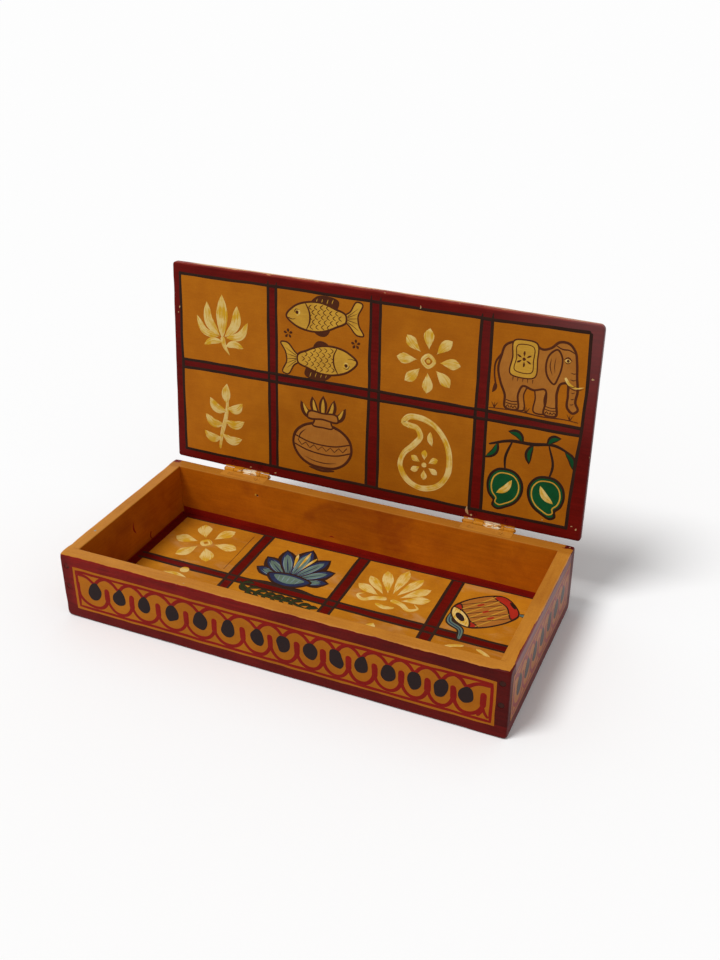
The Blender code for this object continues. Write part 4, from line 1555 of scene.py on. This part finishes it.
def tulip(brush):
    """A cream tulip with a dot over it."""
    w = broad()
    for side in (-1, 1):
        outer = [(side * 2, -14), (side * 14, -6), (side * 13, 8), (side * 17, 21)]
        brush.line("cream", outer, w * 1.25, "leaf")
    brush.leaf("cream", (0, -12), (0, 17), w * 1.6)
    brush.line("cream", [(0, -12), (-2, -20), (2, -26)], w * 0.7, "sweep")
    brush.line("cream", [(-9, 21.6), (0, 22.8), (10, 21)], w * 0.6, "leaf")
    brush.spot("cream", 4, 29, 3.5, 0.9)


def garland(brush):
    """A swag of dark green leaves with a flower under it."""
    vine = [(-31, 27), (-22, 21), (-10, 18.4), (2, 18), (14, 18.4), (24, 15.6), (31, 15)]
    brush.line("line", vine, 3.4, "swell")
    heights = (25, 21, 19.2, 18.2, 18, 18.2, 18.4, 16.6, 15.2)
    for x, y in zip((-29, -22, -15, -8, -1, 6, 13, 20, 26), heights):
        for lean, bend in ((5, 0.16), (-5.6, -0.16)):
            tip = (x + 9.5, y + lean - 1.4)
            brush.leaf("line", (x, y), tip, 4.6, bend)
            brush.leaf("leaf", (x + 0.6, y), (tip[0] - 0.8, tip[1]), 3.2, bend)
    brush.line("leaf", vine, 1.8, "swell")
    flower = brush.part(0, -9)
    ring_of_leaves(flower, "line", 7, 3, 18, 10)
    ring_of_leaves(flower, "accent", 7, 4, 16, 6.6)
    flower.spot("line", 0, 0, 4.4)
    flower.spot("yellow", 0, 0, 3.0)


def ringed_flower(brush):
    """A cream ring round a small flower."""
    brush.line("cream", [20 * step_towards(angle) for angle in range(100, 440, 24)], broad() * 0.8, "swell")
    ring_of_leaves(brush, "cream", 5, 2.4, 11.5, broad() * 1.1)


# The grid of pictures


class Ruled:
    """A ruled line, nearly straight, known by evenly spaced places along it."""

    def __init__(self, start, end, values):
        self.start, self.end, self.values = start, end, values

    def at(self, place):
        last = len(self.values) - 1
        share = min(1.0, max(0.0, (place - self.start) / (self.end - self.start))) * last
        index = min(last - 1, int(share))
        blend = share - index
        return self.values[index] * (1 - blend) + self.values[index + 1] * blend


# Places on each side of a picture's ground, and millimetres between the places on a ruled line
SIDE_STEPS = 12
RULE_STEP = 12


def cell_outline(left, right, low, high):
    """The outline of the ground between four ruled lines."""
    middle = (left.at(0) + right.at(0)) / 2
    bottom, top = low.at(middle), high.at(middle)
    outline = []
    for row, start, end, column in ((low, bottom, top, right), (high, top, bottom, left)):
        for step in range(SIDE_STEPS):
            share = step / SIDE_STEPS if row is low else 1 - step / SIDE_STEPS
            x = left.at(start) + (right.at(start) - left.at(start)) * share
            outline.append(complex(x, row.at(x)))
        for step in range(SIDE_STEPS):
            y = start + (end - start) * step / SIDE_STEPS
            outline.append(complex(column.at(y), max(y, low.at(column.at(y)))))
    return outline


def ruled_line(brush, paint, line, start, end, width, upright=False):
    """Draws a ruled line across a face."""
    steps = max(2, round(abs(end - start) / RULE_STEP))
    points = []
    for step in range(steps + 1):
        place = start + (end - start) * step / steps
        points.append((line.at(place), place) if upright else (place, line.at(place)))
    brush.line(paint, points, width)


def paint_grounds(face, paint, columns, rows):
    """Fills the ground of each picture between its ruled lines, and gives a brush for the lines."""
    for left, low in product((0, 2, 4, 6), (0, 2)):
        outline = cell_outline(columns[left], columns[left + 1], rows[low], rows[low + 1])
        face.patch(paint, outline, GROUND_FILM)
    return Brush(face, first=BORDER_FILM)


def paint_pictures(face, pictures):
    """Draws each picture at its place, with its size and turn."""
    for picture, *placing in pictures:
        picture(Brush(face, *placing))
    face.finish()


# Places of the ruled lines inside the lid and on the floor, in millimetres
LID_COLUMNS = (
    (-145.2, -143.8),
    (-76.0, -73.6),
    (-69.6, -67.6),
    (0.1, 1.6),
    (6.7, 10.2),
    (75.8, 77.3),
    (82.8, 85.7),
)
LID_RIGHT = (144.3, 144.6, 146.5, 146.6, 144.9)
LID_ROWS = (
    (7.5, 7.7, 7.9, 7.6, 8.8),
    (71.1, 72.2, 72.6, 73.2, 73.8),
    (77.2, 78.2, 79.0, 79.1, 78.9),
    (139.2, 140.0, 140.0, 139.8, 141.0),
)
LID_ROW_ENDS = ((-145.2, 145.2), (-145.6, 146.8), (-145.3, 146.0), (-145.8, 145.0))
FLOOR_COLUMNS = (
    (-136.6, -136.8),
    (-69.6, -71.4),
    (-62.6, -63.7),
    (5.7, 4.4),
    (13.3, 12.4),
    (75.6, 74.0),
    (83.5, 82.3),
    (138.2, 138.1),
)
FLOOR_ROWS = ((-57.6, -57.7), (-3.5, -5.5), (2.5, 1.6), (56.7, 57.9))
# How far from the middle the places of the rows start and end
SPAN = 150


class PAINTEDBOX_OT_lid_pictures(bpy.types.Operator):
    """Paints the grid of eight pictures inside the lid"""

    bl_idname = "paintedbox.lid_pictures"
    bl_label = "Pictures inside the lid"

    def execute(self, context):
        face = lid_inner_face("lid_inside")
        columns = [Ruled(140.5, 7.5, values) for values in LID_COLUMNS]
        columns.append(Ruled(7.5, 141, LID_RIGHT))
        rows = [Ruled(-SPAN, SPAN, values) for values in LID_ROWS]
        lines = paint_grounds(face, "ochre", columns, rows)
        width = sizes().line / MM
        for index, column in enumerate(columns):
            ruled_line(lines, "line", column, 140.8, 7.2, width, True)
            if 0 < index < 7:
                x = column.at(140)
                lines.line("line", [(x, 139.6), (x + 0.3, 144.3 - index % 3 * 0.5)], 1.5, "sweep")
        for row, (start, end) in zip(rows, LID_ROW_ENDS):
            ruled_line(lines, "line", row, start, end, width)
        pictures = (
            (lotus_bud, -111.9, 106.5, 0.99),
            (fish_pair, -35.0, 108.7, 0.97),
            (sun_flower, 42.0, 105.9, 0.97),
            (elephant, 113.5, 108.7, 0.95),
            (leaf_sprig, -110.1, 37.0, 0.97),
            (water_pot, -32.7, 37.8, 0.91),
            (paisley, 43.2, 39.3, 0.97),
            (mangoes, 114.3, 37.5, 0.93),
        )
        paint_pictures(face, pictures)
        return {"FINISHED"}


class PAINTEDBOX_OT_floor_pictures(bpy.types.Operator):
    """Paints the grid of eight pictures on the floor of the box"""

    bl_idname = "paintedbox.floor_pictures"
    bl_label = "Pictures on the floor"

    def execute(self, context):
        face = Face("floor", "box", "base_board", (0, 0, FOOT), (1, 0, 0), (0, 1, 0), STILL, FLOOR_SHEEN)
        columns = [Ruled(-60, 60, values) for values in FLOOR_COLUMNS]
        rows = [Ruled(-SPAN, SPAN, values) for values in FLOOR_ROWS]
        lines = paint_grounds(face, "golden", columns, rows)
        width = sizes().line / MM
        for column in columns[1:7]:
            ruled_line(lines, "line", column, 57.6, -57.4, width, True)
        for row in rows[1:3]:
            ruled_line(lines, "line", row, -141.0, 141.0, width)
        for row in (rows[0], rows[3]):
            ruled_line(lines, "line", row, -138.0, 138.4, width * 0.6)
        ruled_line(lines, "brown", Ruled(-60, 60, (-76.5, -77.5)), 52, 6, 0.5, True)
        pictures = (
            (broad_flower, -105.6, 30.7, 0.96),
            (water_lily, -29.7, 26.9, 1.0),
            (palmette, 42.7, 32.1, 0.98),
            (drum, 106.3, 31.2, 0.98, 42),
            (tulip, -105.3, -34.5, 1.0),
            (garland, -29.6, -28.3, 0.96),
            (sun_flower, 43.4, -32.7, 1.0),
            (ringed_flower, 108.4, -28.5, 1.0),
        )
        paint_pictures(face, pictures)
        return {"FINISHED"}


# Scroll borders


def uneven_frame(west, east, south, north, pitch, stray, seed):
    """The outline of a hand-drawn rectangle."""
    corners = [(west, south), (east, south), (east, north), (west, north)]
    outline = []
    for start, end in zip(corners, corners[1:] + corners[:1]):
        pieces = max(2, round(math.dist(start, end) / pitch))
        for piece in range(pieces):
            share = piece / pieces
            x = start[0] + (end[0] - start[0]) * share
            y = start[1] + (end[1] - start[1]) * share
            sway, jitter = ripple(x * 0.09, y * 0.09, seed), ripple(x * 0.31, y * 0.31, seed + 9)
            shift = stray * (0.75 * sway + 0.35 * jitter)
            outline.append(complex(x + shift, y + shift))
    return outline


# The outline of a black drop, and the height of the scrolls that it was drawn for
DROP = [(0.5, 6.2), (-1.8, 4.9), (-3.9, 1.2), (-3.7, -2.7), (-1.4, -5.4), (1.6, -5.2), (3.8, -2.4)]
DROP += [(4.1, 1.2), (2.6, 4.6)]
DROP_HEIGHT = 21.8


def scroll_border(face, west, east, south, north, drops):
    """An ochre band with red scrolls and black drops, inside a red line."""
    brush = Brush(face, first=BORDER_FILM)
    frame_width, thick = sizes().frame / MM, sizes().scroll / MM
    seed = face.strokes * 0.37
    face.patch("ochre", uneven_frame(west, east, south, north, 4, 0.5, seed), GROUND_FILM)
    inset = frame_width + thick * 0.42
    inner = uneven_frame(west + inset, east - inset, south + inset, north - inset, 6, 0.6, seed + 4)
    line = flow_straight(inner, True)
    widths = [thick * (0.86 + 0.2 * ripple(p.real * 0.07, p.imag * 0.2, seed)) for p in line]
    face.ribbon("scroll", line, widths, brush.lift(), closed=True)

    foot, crown = south + inset + 1.9, north - inset - 0.5
    tall = crown - foot
    stem_top, fork, tip = foot + tall * 0.70, foot + tall * 0.29, foot + tall * 0.765
    pitch = (drops[-1] - drops[0]) / (len(drops) - 1)
    between = [(a + b) / 2 for a, b in zip(drops, drops[1:])]
    gaps = [west + inset + 0.6, *between, drops[-1] + pitch * 0.56]
    for index, x in enumerate(drops):
        before, after = gaps[index] + 0.2, gaps[index + 1] - 0.2
        low = foot + 0.5 * ripple(x * 0.37, south, 2.0)
        high, bend = fork + tall * 0.16, foot + tall * 0.15
        side = ((0, 0, high), (0.3, 0, fork), (0, 0.22, bend), (0, 0.56, low + 0.9))
        cup = [(before + step + (x - before) * share, y) for step, share, y in side]
        cup.append((x, low))
        cup += [(after - step - (after - x) * share, y) for step, share, y in reversed(side)]
        brush.line("scroll", cup, thick, wobble=0.6)
    for index, x in enumerate(gaps):
        lean = 0.8 * ripple(x * 0.53, south, 4.0)
        stem = [(x + lean, stem_top + lean), (x, fork + tall * 0.2), (x, fork - tall * 0.02)]
        brush.line("scroll", stem, thick * (1.5 if index else 0.9), wobble=0.5)
    last = gaps[-1]
    for side in (-1, 1):
        tail = [(last, fork), (last + side * 1.2, foot + tall * 0.13), (last + side * 3.4, foot)]
        brush.line("scroll", tail, thick * 0.8)

    def limb(peak, drop, side):
        bend = (drop + (peak - drop) * 0.42, tip + (crown - tip) * 0.62)
        return [(drop - side * 1.1, tip - 1.0), (drop + side * 0.5, tip), bend]

    for index, peak in enumerate([west + inset, *between, east - inset]):
        left = limb(peak, drops[index - 1], 1) if index else []
        right = limb(peak, drops[index], -1) if index < len(drops) else []
        arch = [*left, (peak, crown - (0 if left and right else 1.4)), *reversed(right)]
        brush.line("scroll", arch, thick * 0.9, wobble=0.6)
    for x in drops:
        lean, size = ripple(x * 0.61, south, 8.0), 1 + 0.14 * ripple(x * 0.43, south, 5.0)
        drop = brush.part(x, foot + tall * 0.51, size * tall / DROP_HEIGHT, lean * 16)
        ragged = [1 + 0.24 * ripple(x * 0.9, index * 1.3, south) for index in range(len(DROP))]
        drop.fill("drop", [(a * share, b * share) for (a, b), share in zip(DROP, ragged)])


def even_drops(left, right, count):
    """Places for drops, evenly spread with a hand's unevenness."""
    pitch = (right - left) / count
    return [left + pitch * (index + 0.5) + 0.9 * ripple(index * 1.7, left, 3.0) for index in range(count)]


# Places of the drops along the front, in millimetres from its middle
FRONT_DROPS = (-127.5, -108.7, -89.8, -69, -48.6, -28.3, -7.9, 9.9, 28.3, 45.2, 61.6, 79, 95.4, 111.8, 127.2)


# The scroll borders in millimetres: inset from a wall's ends, lower and upper edge, and on the
# outside of the lid how far they reach to both sides
BORDER_INSET = 8.0
BORDER_LOW, BORDER_HIGH = 7.7, 40.1
LID_REACH = 145.4


class PAINTEDBOX_OT_borders(bpy.types.Operator):
    """Paints the scroll border on the four outer walls"""

    bl_idname = "paintedbox.borders"
    bl_label = "Scroll borders"

    def execute(self, context):
        length, depth = HALF_LENGTH, HALF_DEPTH
        walls = (
            ("front", "front_wall", (0, -depth, 0), (1, 0, 0), length, FRONT_DROPS, (1.1, 0.2, 0)),
            ("back", "back_wall", (0, depth, 0), (-1, 0, 0), length, 15, (0, 0, 0)),
            ("right", "right_end", (length, 0, 0), (0, 1, 0), depth, 7, (-2, -1.5, 1.5)),
            ("left", "left_end", (-length, 0, 0), (0, -1, 0), depth, 7, (0, 0, 0)),
        )
        for name, slot, origin, along, reach, drops, (west, east, lift) in walls:
            sheen = GLANCING if name == "right" else WALL_SHEEN
            face = Face(f"{name}_border", "box", slot, origin, along, (0, 0, 1), STILL, sheen)
            edge = reach / MM - BORDER_INSET
            if isinstance(drops, int):
                drops = even_drops(west - edge + 6, edge + east - 8, drops)
            scroll_border(face, west - edge, edge + east, BORDER_LOW + lift, BORDER_HIGH + lift, drops)
            face.finish()
        return {"FINISHED"}


class PAINTEDBOX_OT_lid_top(bpy.types.Operator):
    """Paints the two borders and the flower panel on the outside of the lid"""

    bl_idname = "paintedbox.lid_top"
    bl_label = "Outside of the lid"

    def execute(self, context):
        origin = (LID_MIDDLE.x, LID_HIGH.y, LID_HIGH.z)
        face = Face("lid_outside", "lid", "lid_board", origin, (-1, 0, 0), (0, -1, 0), OPEN)
        for low in (6.4, 107.8):
            scroll_border(face, -LID_REACH, LID_REACH, low, low + 32, even_drops(-140, 138, 15))
        panel = uneven_frame(-LID_REACH, LID_REACH, 43.6, 102.6, 4, 0.5, 3)
        face.patch("ochre", panel, GROUND_FILM)
        inner = flow_straight(uneven_frame(-143, 143, 46, 100.2, 6, 0.6, 7), True)
        face.ribbon("scroll", inner, [2.1] * len(inner), BORDER_FILM, closed=True)
        centre = Brush(face, 0, 73.2)
        ring_of_leaves(centre, "line", 12, 8, 23.4, 8.6)
        ring_of_leaves(centre, "scroll", 12, 9, 22, 6.2)
        ring_of_leaves(centre, "line", 8, 4, 14, 7.6, 67)
        ring_of_leaves(centre, "cream", 8, 5, 12.8, 5.0, 67)
        centre.spot("line", 0, 0, 5.2)
        centre.spot("yellow", 0, 0, 3.8)
        for mirror in (False, True):
            vine = Brush(face, 0, 73.2, 1, 0, mirror)
            stem = [(28 + step * 12, 9 * math.sin(step * math.pi / 2)) for step in range(10)]
            vine.line("line", stem, 2.0, "sweep")
            for step in range(9):
                x, y = 34 + step * 12, 9 * math.sin((step + 0.5) * math.pi / 2)
                side = 1 if step % 4 in (0, 1) else -1
                vine.leaf("line", (x, y), (x + 9, y + side * 11), 6.0, 0.16 * side)
                vine.leaf("green", (x + 0.8, y + side), (x + 8.2, y + side * 10), 3.6, 0.16 * side)
                vine.leaf("line", (x, y), (x + 10, y - side * 6), 4.6, -0.16 * side)
                vine.leaf("leaf", (x + 0.8, y - side * 0.6), (x + 9, y - side * 5.4), 2.6, -0.16 * side)
            for step in (1, 3, 5, 7):
                x, y = 28 + step * 12, -9 * math.sin(step * math.pi / 2)
                flower = vine.part(x, y * 1.05)
                ring_of_leaves(flower, "line", 6, 1.4, 7.4, 4.6)
                ring_of_leaves(flower, "scroll", 6, 1.8, 6.6, 3.0)
                flower.spot("cream", 0, 0, 1.7)
        face.finish()
        return {"FINISHED"}


# The foot bands inside the walls: where each lies, and its height at its two ends in millimetres
FOOT_BANDS = (
    ("back", "back_wall", (0, INNER_DEPTH, 0), (1, 0, 0), INNER_LENGTH, 14.7, 11.9),
    ("left", "left_end", (-INNER_LENGTH, 0, 0), (0, 1, 0), INNER_DEPTH, 10.0, 10.6),
    ("right", "right_end", (INNER_LENGTH, 0, 0), (0, -1, 0), INNER_DEPTH, 11.4, 10.8),
    ("front", "front_wall", (0, -INNER_DEPTH, 0), (-1, 0, 0), INNER_LENGTH, 11.8, 12.6),
)
# Chips along the lid's edges: place, radius and stretch
LID_CHIPS = (
    (-146.0, 115.2, 0.5, 1.6),
    (-147.2, 111.2, 0.4, 1.2),
    (34.5, 141.2, 0.5, 2.0),
    (149.6, 111.9, 0.9, 0.5),
    (79.5, 3.0, 0.7, 1.0),
    (147.9, 10.4, 0.5, 0.6),
    (151.0, 8.8, 0.5, 1.4),
    (-69.4, 2.7, 0.8, 0.5),
    (-89.7, 3.1, 0.7, 0.5),
    (128.2, 10.7, 0.4, 1.0),
)


class PAINTEDBOX_OT_touches(bpy.types.Operator):
    """Adds the red foot bands inside the walls, stray paint and small chips"""

    bl_idname = "paintedbox.touches"
    bl_label = "Foot bands, stray paint and chips"

    def execute(self, context):
        foot = FOOT / MM
        for name, slot, origin, along, reach, start, end in FOOT_BANDS:
            face = Face(f"{name}_inner", "box", slot, origin, along, (0, 0, 1))
            reach = reach / MM - 0.4
            outline = [complex(-reach, foot), complex(reach, foot)]
            steps = round(reach / 3)
            for step in range(steps + 1):
                share = 1 - step / steps
                stray = 0.5 * ripple(share * reach * 0.05, start, 6.0)
                outline.append(complex(-reach + 2 * reach * share, start + (end - start) * share + stray))
            face.patch("foot", outline, GROUND_FILM)
            touches = Brush(face)
            if name == "back":
                touches.line("foot", [(-21.5, 17.6), (-19, 18.2), (-17.4, 17.8)], 0.9, "leaf")
                touches.spot("brown", -78.9, 38.6, 0.9, 0.8, 0.3)
                touches.spot("yellow", -80.2, 39, 0.8, 0.9, 0.4)
                touches.line("bare", [(-79, 37.4), (-77.6, 38.2)], 0.4, "leaf")
            if name == "left":
                touches.line("foot", [(-1.5, 35), (-2, 30), (0.5, 25)], 1.7, "leaf")
                touches.line("foot", [(18, 17), (17, 13), (19, 10)], 1.3, "sweep")
            face.finish()
        rim = Face("rim", "box", "back_wall", (0, 0, TOP), (1, 0, 0), (0, 1, 0))
        touches = Brush(rim, first=GROUND_FILM)
        touches.spot("foot", 145.6, 66.4, 0.7, 0.5, 0.3)
        touches.spot("bare", 149.6, 68.4, 0.6, 0.7, 0.3)
        touches.spot("bare", -60, -68.4, 0.5, 1, 0.3)
        touches.spot("pale_blue", -147.2, -38.5, 0.9, 0.8, 0.3)
        rim.finish()
        lid = lid_inner_face("lid_chips")
        chips = Brush(lid, first=CHIP_FILM)
        chips.line("bare", [(76.3, 9.2), (76, 5.6), (77.6, 2.8)], 1.9, "leaf")
        for chip in LID_CHIPS:
            chips.spot("bare", *chip, 0.35)
        lid.finish()
        return {"FINISHED"}


# Stage

# Where the camera stands and how far it is moved aside, the way to the sun, and the floor
CAMERA_AZIMUTH = math.radians(23.756)
CAMERA_ELEVATION = math.radians(29.191)
CAMERA_ROLL = math.radians(-0.054)
CAMERA_DISTANCE = 0.75066
CAMERA_RIGHT = 0.02719
CAMERA_UP = 0.08787
SENSOR = 36.0
SUN_FROM = (-0.36, -0.46, 1.0)
SUN_ANGLE = math.radians(22)
FLOOR_HALF = 8.0
FLOOR_LEVEL = -0.0002
# How bright the floor is for the light that bounces off it
BOUNCE = 0.62


def make_camera(lens):
    """The camera where the photographer stood."""
    data = bpy.data.cameras.new("camera")
    data.sensor_fit = "VERTICAL"
    data.sensor_width = data.sensor_height = SENSOR
    data.lens = lens
    data.clip_start, data.clip_end = 0.01, 40
    flat, rise = math.cos(CAMERA_ELEVATION), math.sin(CAMERA_ELEVATION)
    back = Vector((math.sin(CAMERA_AZIMUTH) * flat, -math.cos(CAMERA_AZIMUTH) * flat, rise))
    right = Vector((0, 0, 1)).cross(back).normalized()
    up = back.cross(right)
    turn, lean = math.cos(CAMERA_ROLL), math.sin(CAMERA_ROLL)
    level, upright = turn * right + lean * up, turn * up - lean * right
    place = back * CAMERA_DISTANCE + level * CAMERA_RIGHT + upright * CAMERA_UP
    turned = Matrix((level, upright, back)).transposed().to_4x4()
    camera = give_object("camera", data, Matrix.Translation(place) @ turned)
    bpy.context.scene.camera = camera


def seen_directly(nodes):
    """1 for what the camera sees itself, or in metal and glass."""
    rays = nodes.add("ShaderNodeLightPath").outputs
    seen = nodes.math("MAXIMUM", rays["Is Camera Ray"], rays["Is Glossy Ray"])
    return nodes.math("MAXIMUM", seen, rays["Is Transmission Ray"])


def make_world(strength):
    """Even light from all round, white where it is seen."""
    world = bpy.data.worlds.new("studio")
    world.use_nodes = True
    nodes = Nodes(world.node_tree)
    background = world.node_tree.nodes["Background"]
    background.inputs["Color"].default_value = (1, 1, 1, 1)
    level = nodes.times_plus(seen_directly(nodes), 1 - strength, strength)
    world.node_tree.links.new(level, background.inputs["Strength"])
    bpy.context.scene.world = world


def make_floor(brightness):
    """A wide pale floor that keeps the box's shadow."""
    corners = ((-1, -1), (1, -1), (1, 1), (-1, 1))
    vertices = [(x * FLOOR_HALF, y * FLOOR_HALF, FLOOR_LEVEL) for x, y in corners]
    material, nodes, shader = new_finish("pale_floor", 0.0)
    shader.inputs["Roughness"].default_value = 1.0
    dim, bright = (BOUNCE, BOUNCE, BOUNCE, 1), (brightness, brightness, brightness, 1)
    nodes.tree.links.new(nodes.mix(seen_directly(nodes), dim, bright), shader.inputs["Base Color"])
    floor = give_object("stage_floor", give_mesh("stage_floor", vertices, [(0, 1, 2, 3)], material))


class PAINTEDBOX_OT_stage(bpy.types.Operator):
    """Makes the camera, the light and the floor"""

    bl_idname = "paintedbox.stage"
    bl_label = "Stage"

    def execute(self, context):
        settings = context.scene.painted_box_stage
        make_camera(settings.lens)
        make_world(settings.sky)
        make_floor(settings.floor)
        data = bpy.data.lights.new("key", "SUN")
        data.energy = settings.sun
        data.angle = SUN_ANGLE
        key = give_object("key", data)
        key.rotation_euler = Vector(SUN_FROM).to_track_quat("Z", "Y").to_euler()
        context.scene.view_settings.view_transform = "Standard"
        return {"FINISHED"}


STEPS = (
    PAINTEDBOX_OT_stage,
    PAINTEDBOX_OT_boards,
    PAINTEDBOX_OT_lid,
    PAINTEDBOX_OT_metalwork,
    PAINTEDBOX_OT_lid_pictures,
    PAINTEDBOX_OT_floor_pictures,
    PAINTEDBOX_OT_borders,
    PAINTEDBOX_OT_lid_top,
    PAINTEDBOX_OT_touches,
)


class PAINTEDBOX_PT_panel(bpy.types.Panel):
    """Lists the settings and the steps of the painted box"""

    bl_idname = "PAINTEDBOX_PT_panel"
    bl_label = "Painted box"
    bl_space_type = "VIEW_3D"
    bl_region_type = "UI"
    bl_category = "Painted box"

    def draw(self, context):
        for settings in ("paints", "sizes", "stage"):
            group = getattr(context.scene, f"painted_box_{settings}")
            box = self.layout.box()
            for name in type(group).__annotations__:
                box.prop(group, name)
        for step in STEPS:
            self.layout.operator(step.bl_idname)


CLASSES = (
    PAINTEDBOX_PG_paints,
    PAINTEDBOX_PG_sizes,
    PAINTEDBOX_PG_stage,
    *STEPS,
    PAINTEDBOX_PT_panel,
)


def register():
    for kind in CLASSES:
        bpy.utils.register_class(kind)
    scene = bpy.types.Scene
    scene.painted_box_paints = bpy.props.PointerProperty(type=PAINTEDBOX_PG_paints)
    scene.painted_box_sizes = bpy.props.PointerProperty(type=PAINTEDBOX_PG_sizes)
    scene.painted_box_stage = bpy.props.PointerProperty(type=PAINTEDBOX_PG_stage)


def unregister():
    for name in ("paints", "sizes", "stage"):
        delattr(bpy.types.Scene, f"painted_box_{name}")
    for kind in reversed(CLASSES):
        bpy.utils.unregister_class(kind)


def main():
    """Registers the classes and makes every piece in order."""
    register()
    for step in STEPS:
        group, name = step.bl_idname.split(".")
        getattr(getattr(bpy.ops, group), name)()
    bpy.context.view_layer.update()


if __name__ == "__main__":
    main()
